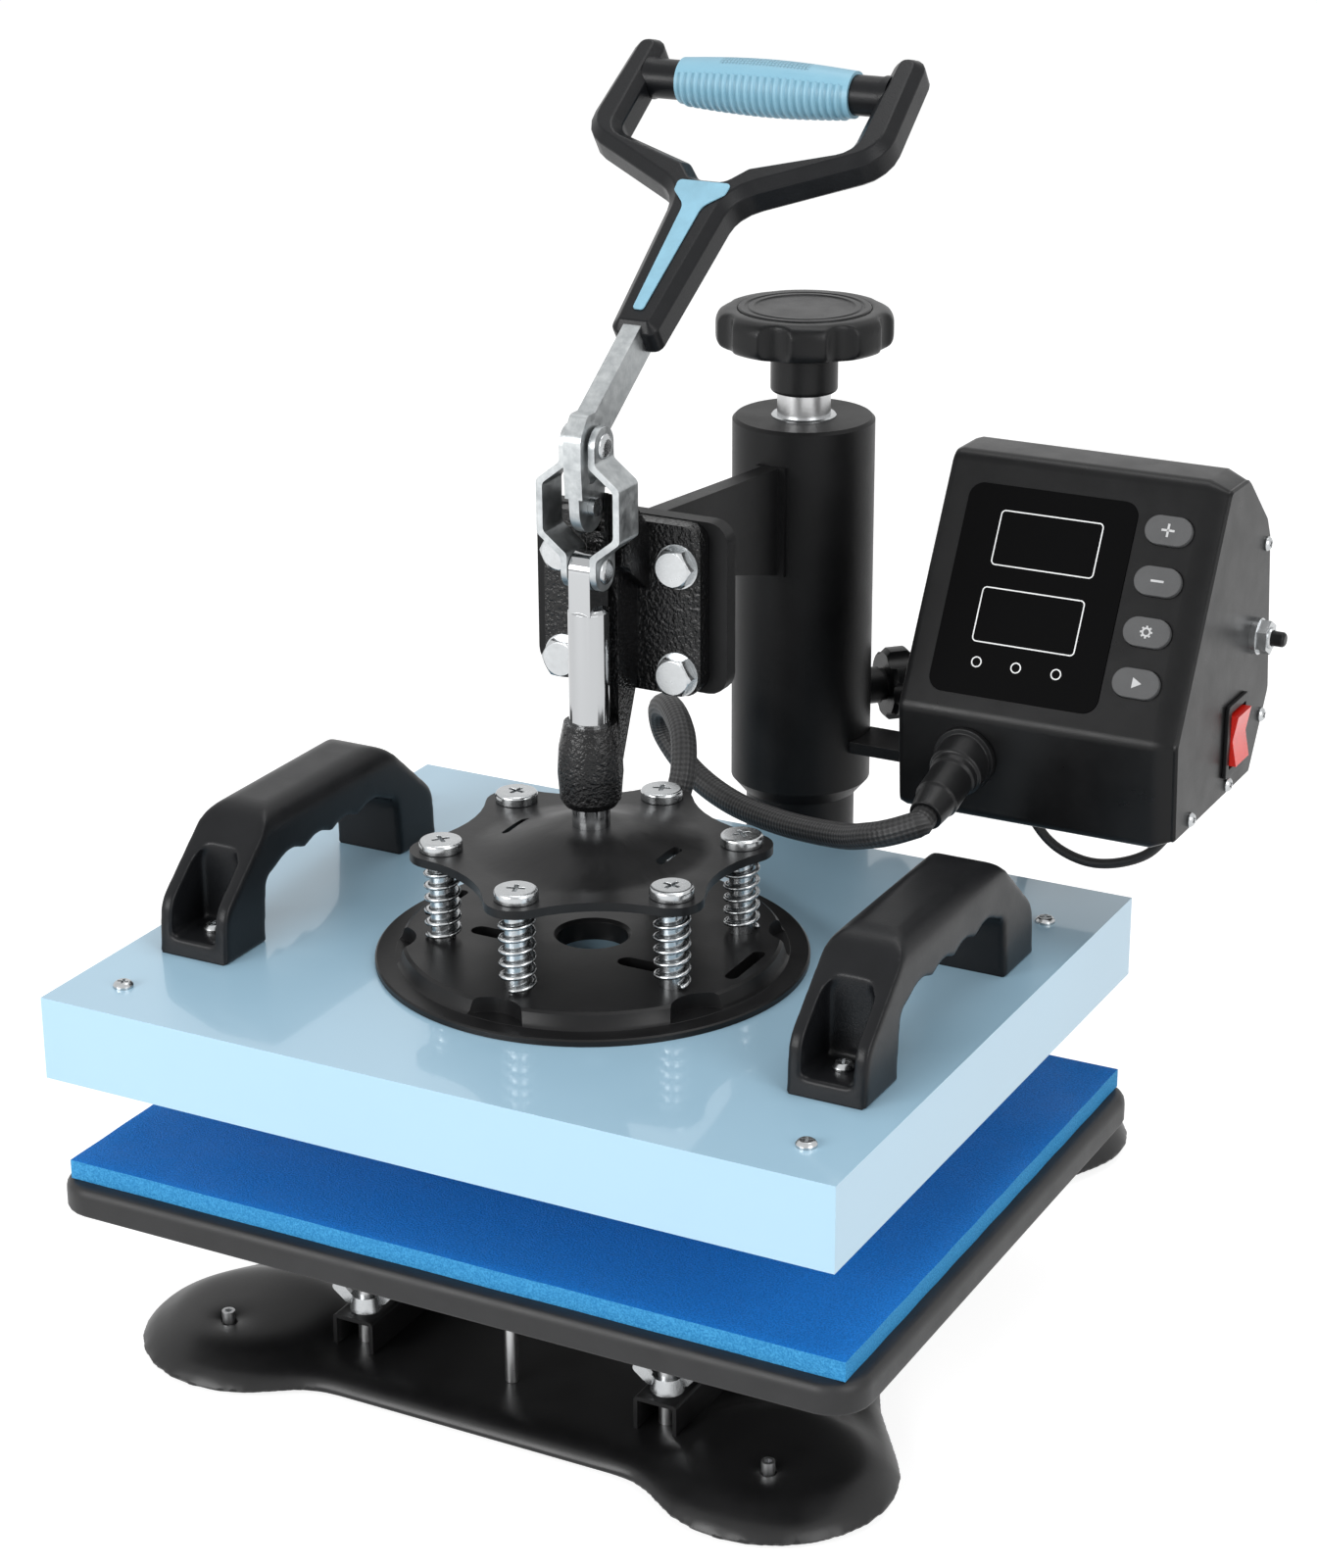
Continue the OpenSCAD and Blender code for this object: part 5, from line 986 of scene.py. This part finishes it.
def outline(name, left_mm, right_mm, low_mm, high_mm, corner_mm, line_mm):
    """A flat frame with round corners, its hole cut by an inset."""
    bpy.ops.object.select_all(action="DESELECT")
    bpy.ops.mesh.primitive_plane_add(size=1)
    piece = bpy.context.object
    piece.name = name
    piece.scale = ((right_mm - left_mm) * MM, (high_mm - low_mm) * MM, 1)
    piece.location = ((left_mm + right_mm) / 2 * MM, (low_mm + high_mm) / 2 * MM, 0)
    bpy.ops.object.transform_apply(location=True, rotation=True, scale=True)
    bpy.ops.object.mode_set(mode="EDIT")
    bpy.ops.mesh.select_all(action="SELECT")
    bpy.ops.mesh.bevel(offset=corner_mm * MM, segments=CORNER_STEPS, affect="VERTICES")
    bpy.ops.mesh.select_all(action="SELECT")
    bpy.ops.mesh.inset(thickness=line_mm * MM)
    bpy.ops.mesh.delete(type="FACE")
    ink_depth()
    return piece


def ring(name, x_mm, p_mm, radius_mm, line_mm):
    """A round frame: an outline whose corners all but meet."""
    return outline(name, x_mm - radius_mm, x_mm + radius_mm, p_mm - radius_mm, p_mm + radius_mm,
                   radius_mm - 0.01, line_mm)


def ink_depth():
    """Gives the flat piece in edit mode the depth of a printed film."""
    bpy.ops.mesh.select_all(action="SELECT")
    bpy.ops.mesh.extrude_region_move(TRANSFORM_OT_translate={"value": (0, 0, INK_T)})
    bpy.ops.mesh.select_all(action="SELECT")
    bpy.ops.mesh.normals_make_consistent(inside=False)
    bpy.ops.object.mode_set(mode="OBJECT")


def printed(piece, body="swing_arm", lift=PANEL_PROUD, ink=ink_white):
    """Carries a flat piece, drawn across and up the slope, to the sloping face and inks it."""
    piece.data.transform(FACE @ Matrix.Translation((0, 0, lift)))
    finish_with(piece, ink)
    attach(piece, body)


for name, sides_mm in WINDOWS_MM.items():
    printed(outline(name, *sides_mm, WINDOW_CORNER_MM, LINE_MM))
for i, x_mm in enumerate(LAMPS_X_MM):
    printed(ring(f"lamp_ring_{i}", x_mm, LAMPS_P_MM, LAMP_R_MM, LINE_MM))
print("display printed")

# %% [markdown]
# Each push button carries a small pale sign. They are plain signs that many machines share: plus,
# minus, a toothed wheel for setting and a triangle for start. Each one rides with its own button.

# %% Signs on the buttons
BUTTON_X_MM, BUTTON_PROUD = 202, 2.62 * MM
PLUS_P_MM, MINUS_P_MM, SET_P_MM, START_P_MM = 95, 72, 49, 26
SIGN_MM, TRIANGLE_MM, BAR_SLIM, DIAGONAL = 3.0, 2.85, 0.17, 1.414
WHEEL_R_MM, WHEEL_LINE_MM, TEETH, TOOTH_R_MM, TOOTH_RING_MM = 2.1, 0.8, 8, 0.62, 2.4


def flat_sign(name, sides, radius_mm, x_mm, p_mm, turn=0.0, stretch=1.0):
    """A small flat sign with a number of sides, on a button."""
    bpy.ops.object.select_all(action="DESELECT")
    bpy.ops.mesh.primitive_circle_add(vertices=sides, radius=radius_mm * MM, fill_type="NGON",
                                      rotation=(0, 0, turn))
    piece = bpy.context.object
    piece.name = name
    bpy.ops.object.transform_apply(location=True, rotation=True, scale=True)
    bpy.ops.object.mode_set(mode="EDIT")
    bpy.ops.mesh.select_all(action="SELECT")
    bpy.ops.transform.resize(value=(1, stretch, 1), center_override=(0, 0, 0))
    bpy.ops.transform.translate(value=(x_mm * MM, p_mm * MM, 0))
    ink_depth()
    return piece


def joined(pieces):
    """Several flat pieces as one sign, named after the first."""
    pick(pieces[0])
    for piece in pieces[1:]:
        piece.select_set(True)
    bpy.ops.object.join()
    return pieces[0]


def bar(name, p_mm, across=True):
    """A slim bar through the middle of a button, lying or upright."""
    size, stretch = (SIGN_MM, BAR_SLIM) if across else (SIGN_MM * BAR_SLIM, 1 / BAR_SLIM)
    return flat_sign(name, 4, size * DIAGONAL, BUTTON_X_MM, p_mm, pi / 4, stretch)


wheel = [ring("sign_wheel", BUTTON_X_MM, SET_P_MM, WHEEL_R_MM, WHEEL_LINE_MM)]
for i in range(TEETH):
    a = 2 * pi * i / TEETH
    wheel.append(flat_sign("tooth", 4, TOOTH_R_MM, BUTTON_X_MM + TOOTH_RING_MM * cos(a),
                           SET_P_MM + TOOTH_RING_MM * sin(a), a + pi / 4))
signs = {"button_plus": joined([bar("sign_plus", PLUS_P_MM), bar("sign_upright", PLUS_P_MM, False)]),
         "button_minus": bar("sign_minus", MINUS_P_MM),
         "button_set": joined(wheel),
         "button_start": flat_sign("sign_triangle", 3, TRIANGLE_MM, BUTTON_X_MM, START_P_MM, -pi / 2)}
for button, sign in signs.items():
    printed(sign, body_of[button], BUTTON_PROUD, ink_pale)
print("signs:", len(signs))

# %% [markdown]
# The press stands on a plain white floor. To the eye and in reflections the floor glows a little by
# itself, so that it reads as white paper and still keeps the shadow under the base.

# %% Floor
FLOOR_WIDE, FLOOR_DROP, SEEN_RAYS = 14, 0.2 * MM, ("Is Camera Ray", "Is Glossy Ray", "Is Transmission Ray")
bpy.ops.object.select_all(action="DESELECT")
bpy.ops.mesh.primitive_plane_add(size=FLOOR_WIDE, location=(0, 0, -FLOOR_DROP))
floor = bpy.context.object
floor.name = "floor"
ground = Finish("pale_floor", (0.88, 0.88, 0.88), 0.8, specular_ior_level=0.0)
ground.feed("Roughness", 0.7 + ground.noise(3, 2.0) * 0.2)
paper = ground.node("ShaderNodeBsdfDiffuse", {}, {"Color": (0.5, 0.5, 0.5, 1)})
glow = ground.node("ShaderNodeEmission", {}, {"Color": (1, 1, 1, 1), "Strength": 0.8})
seen_floor = ground.node("ShaderNodeAddShader", {}, {0: paper, 1: glow})


def seen(finish):
    """1 where a ray comes from the eye, a mirror or a glass, and 0 for the light that bounces."""
    rays = finish.node("ShaderNodeLightPath").socket.node.outputs
    return sum(Flow(finish, rays[kind]) for kind in SEEN_RAYS)


lit_floor = Flow(ground, ground.shader.outputs[0])
surface = ground.node("ShaderNodeMixShader", {}, {0: seen(ground), 1: lit_floor, 2: seen_floor})
ground.tree.links.new(surface.socket, ground.tree.nodes["Material Output"].inputs["Surface"])
finish_with(floor, ground.material)
print("floor laid")

# %% [markdown]
# Soft studio light comes from three boxes turned to the press: a broad key at the front left, a fill
# at the right and a weak strip overhead. The world is white to the eye and in reflections, and
# weaker as a light, so that the lamps keep their say in the shadows.

# %% Lamps and world
LAMP_AIM, AMBIENT = Vector((0, 0, 0.2)), 0.4


def soft_box(name, place, size, watts):
    bpy.ops.object.light_add(type="AREA", location=place)
    lamp = bpy.context.object
    lamp.name = name
    lamp.data.shape, lamp.data.size, lamp.data.size_y = "RECTANGLE", *size
    lamp.data.energy = watts
    lamp.rotation_euler = (LAMP_AIM - Vector(place)).to_track_quat("-Z", "Y").to_euler()


soft_box("key", (-0.9, -2.25, 0.98), (1.6, 0.9), 38)
soft_box("fill", (2.0, -0.9, 1.2), (1.2, 1.4), 20)
soft_box("strip", (0.1, 0.5, 2.2), (1.8, 0.7), 12)
world = bpy.data.worlds.new("studio")
bpy.context.scene.world = world
world.use_nodes = True
sky, paths = world.node_tree.nodes["Background"], world.node_tree.nodes.new("ShaderNodeLightPath")
level = world.node_tree.nodes.new("ShaderNodeMapRange")
seen_ray = paths.outputs[SEEN_RAYS[0]]
for kind in SEEN_RAYS[1:]:
    either = world.node_tree.nodes.new("ShaderNodeMath")
    either.operation = "MAXIMUM"
    world.node_tree.links.new(seen_ray, either.inputs[0])
    world.node_tree.links.new(paths.outputs[kind], either.inputs[1])
    seen_ray = either.outputs[0]
world.node_tree.links.new(seen_ray, level.inputs["Value"])
level.inputs["To Min"].default_value, level.inputs["To Max"].default_value = AMBIENT, 1.0
world.node_tree.links.new(level.outputs[0], sky.inputs["Strength"])
sky.inputs["Color"].default_value = (1, 1, 1, 1)
bpy.context.scene.view_settings.view_transform = "Standard"
print("lamps lit")
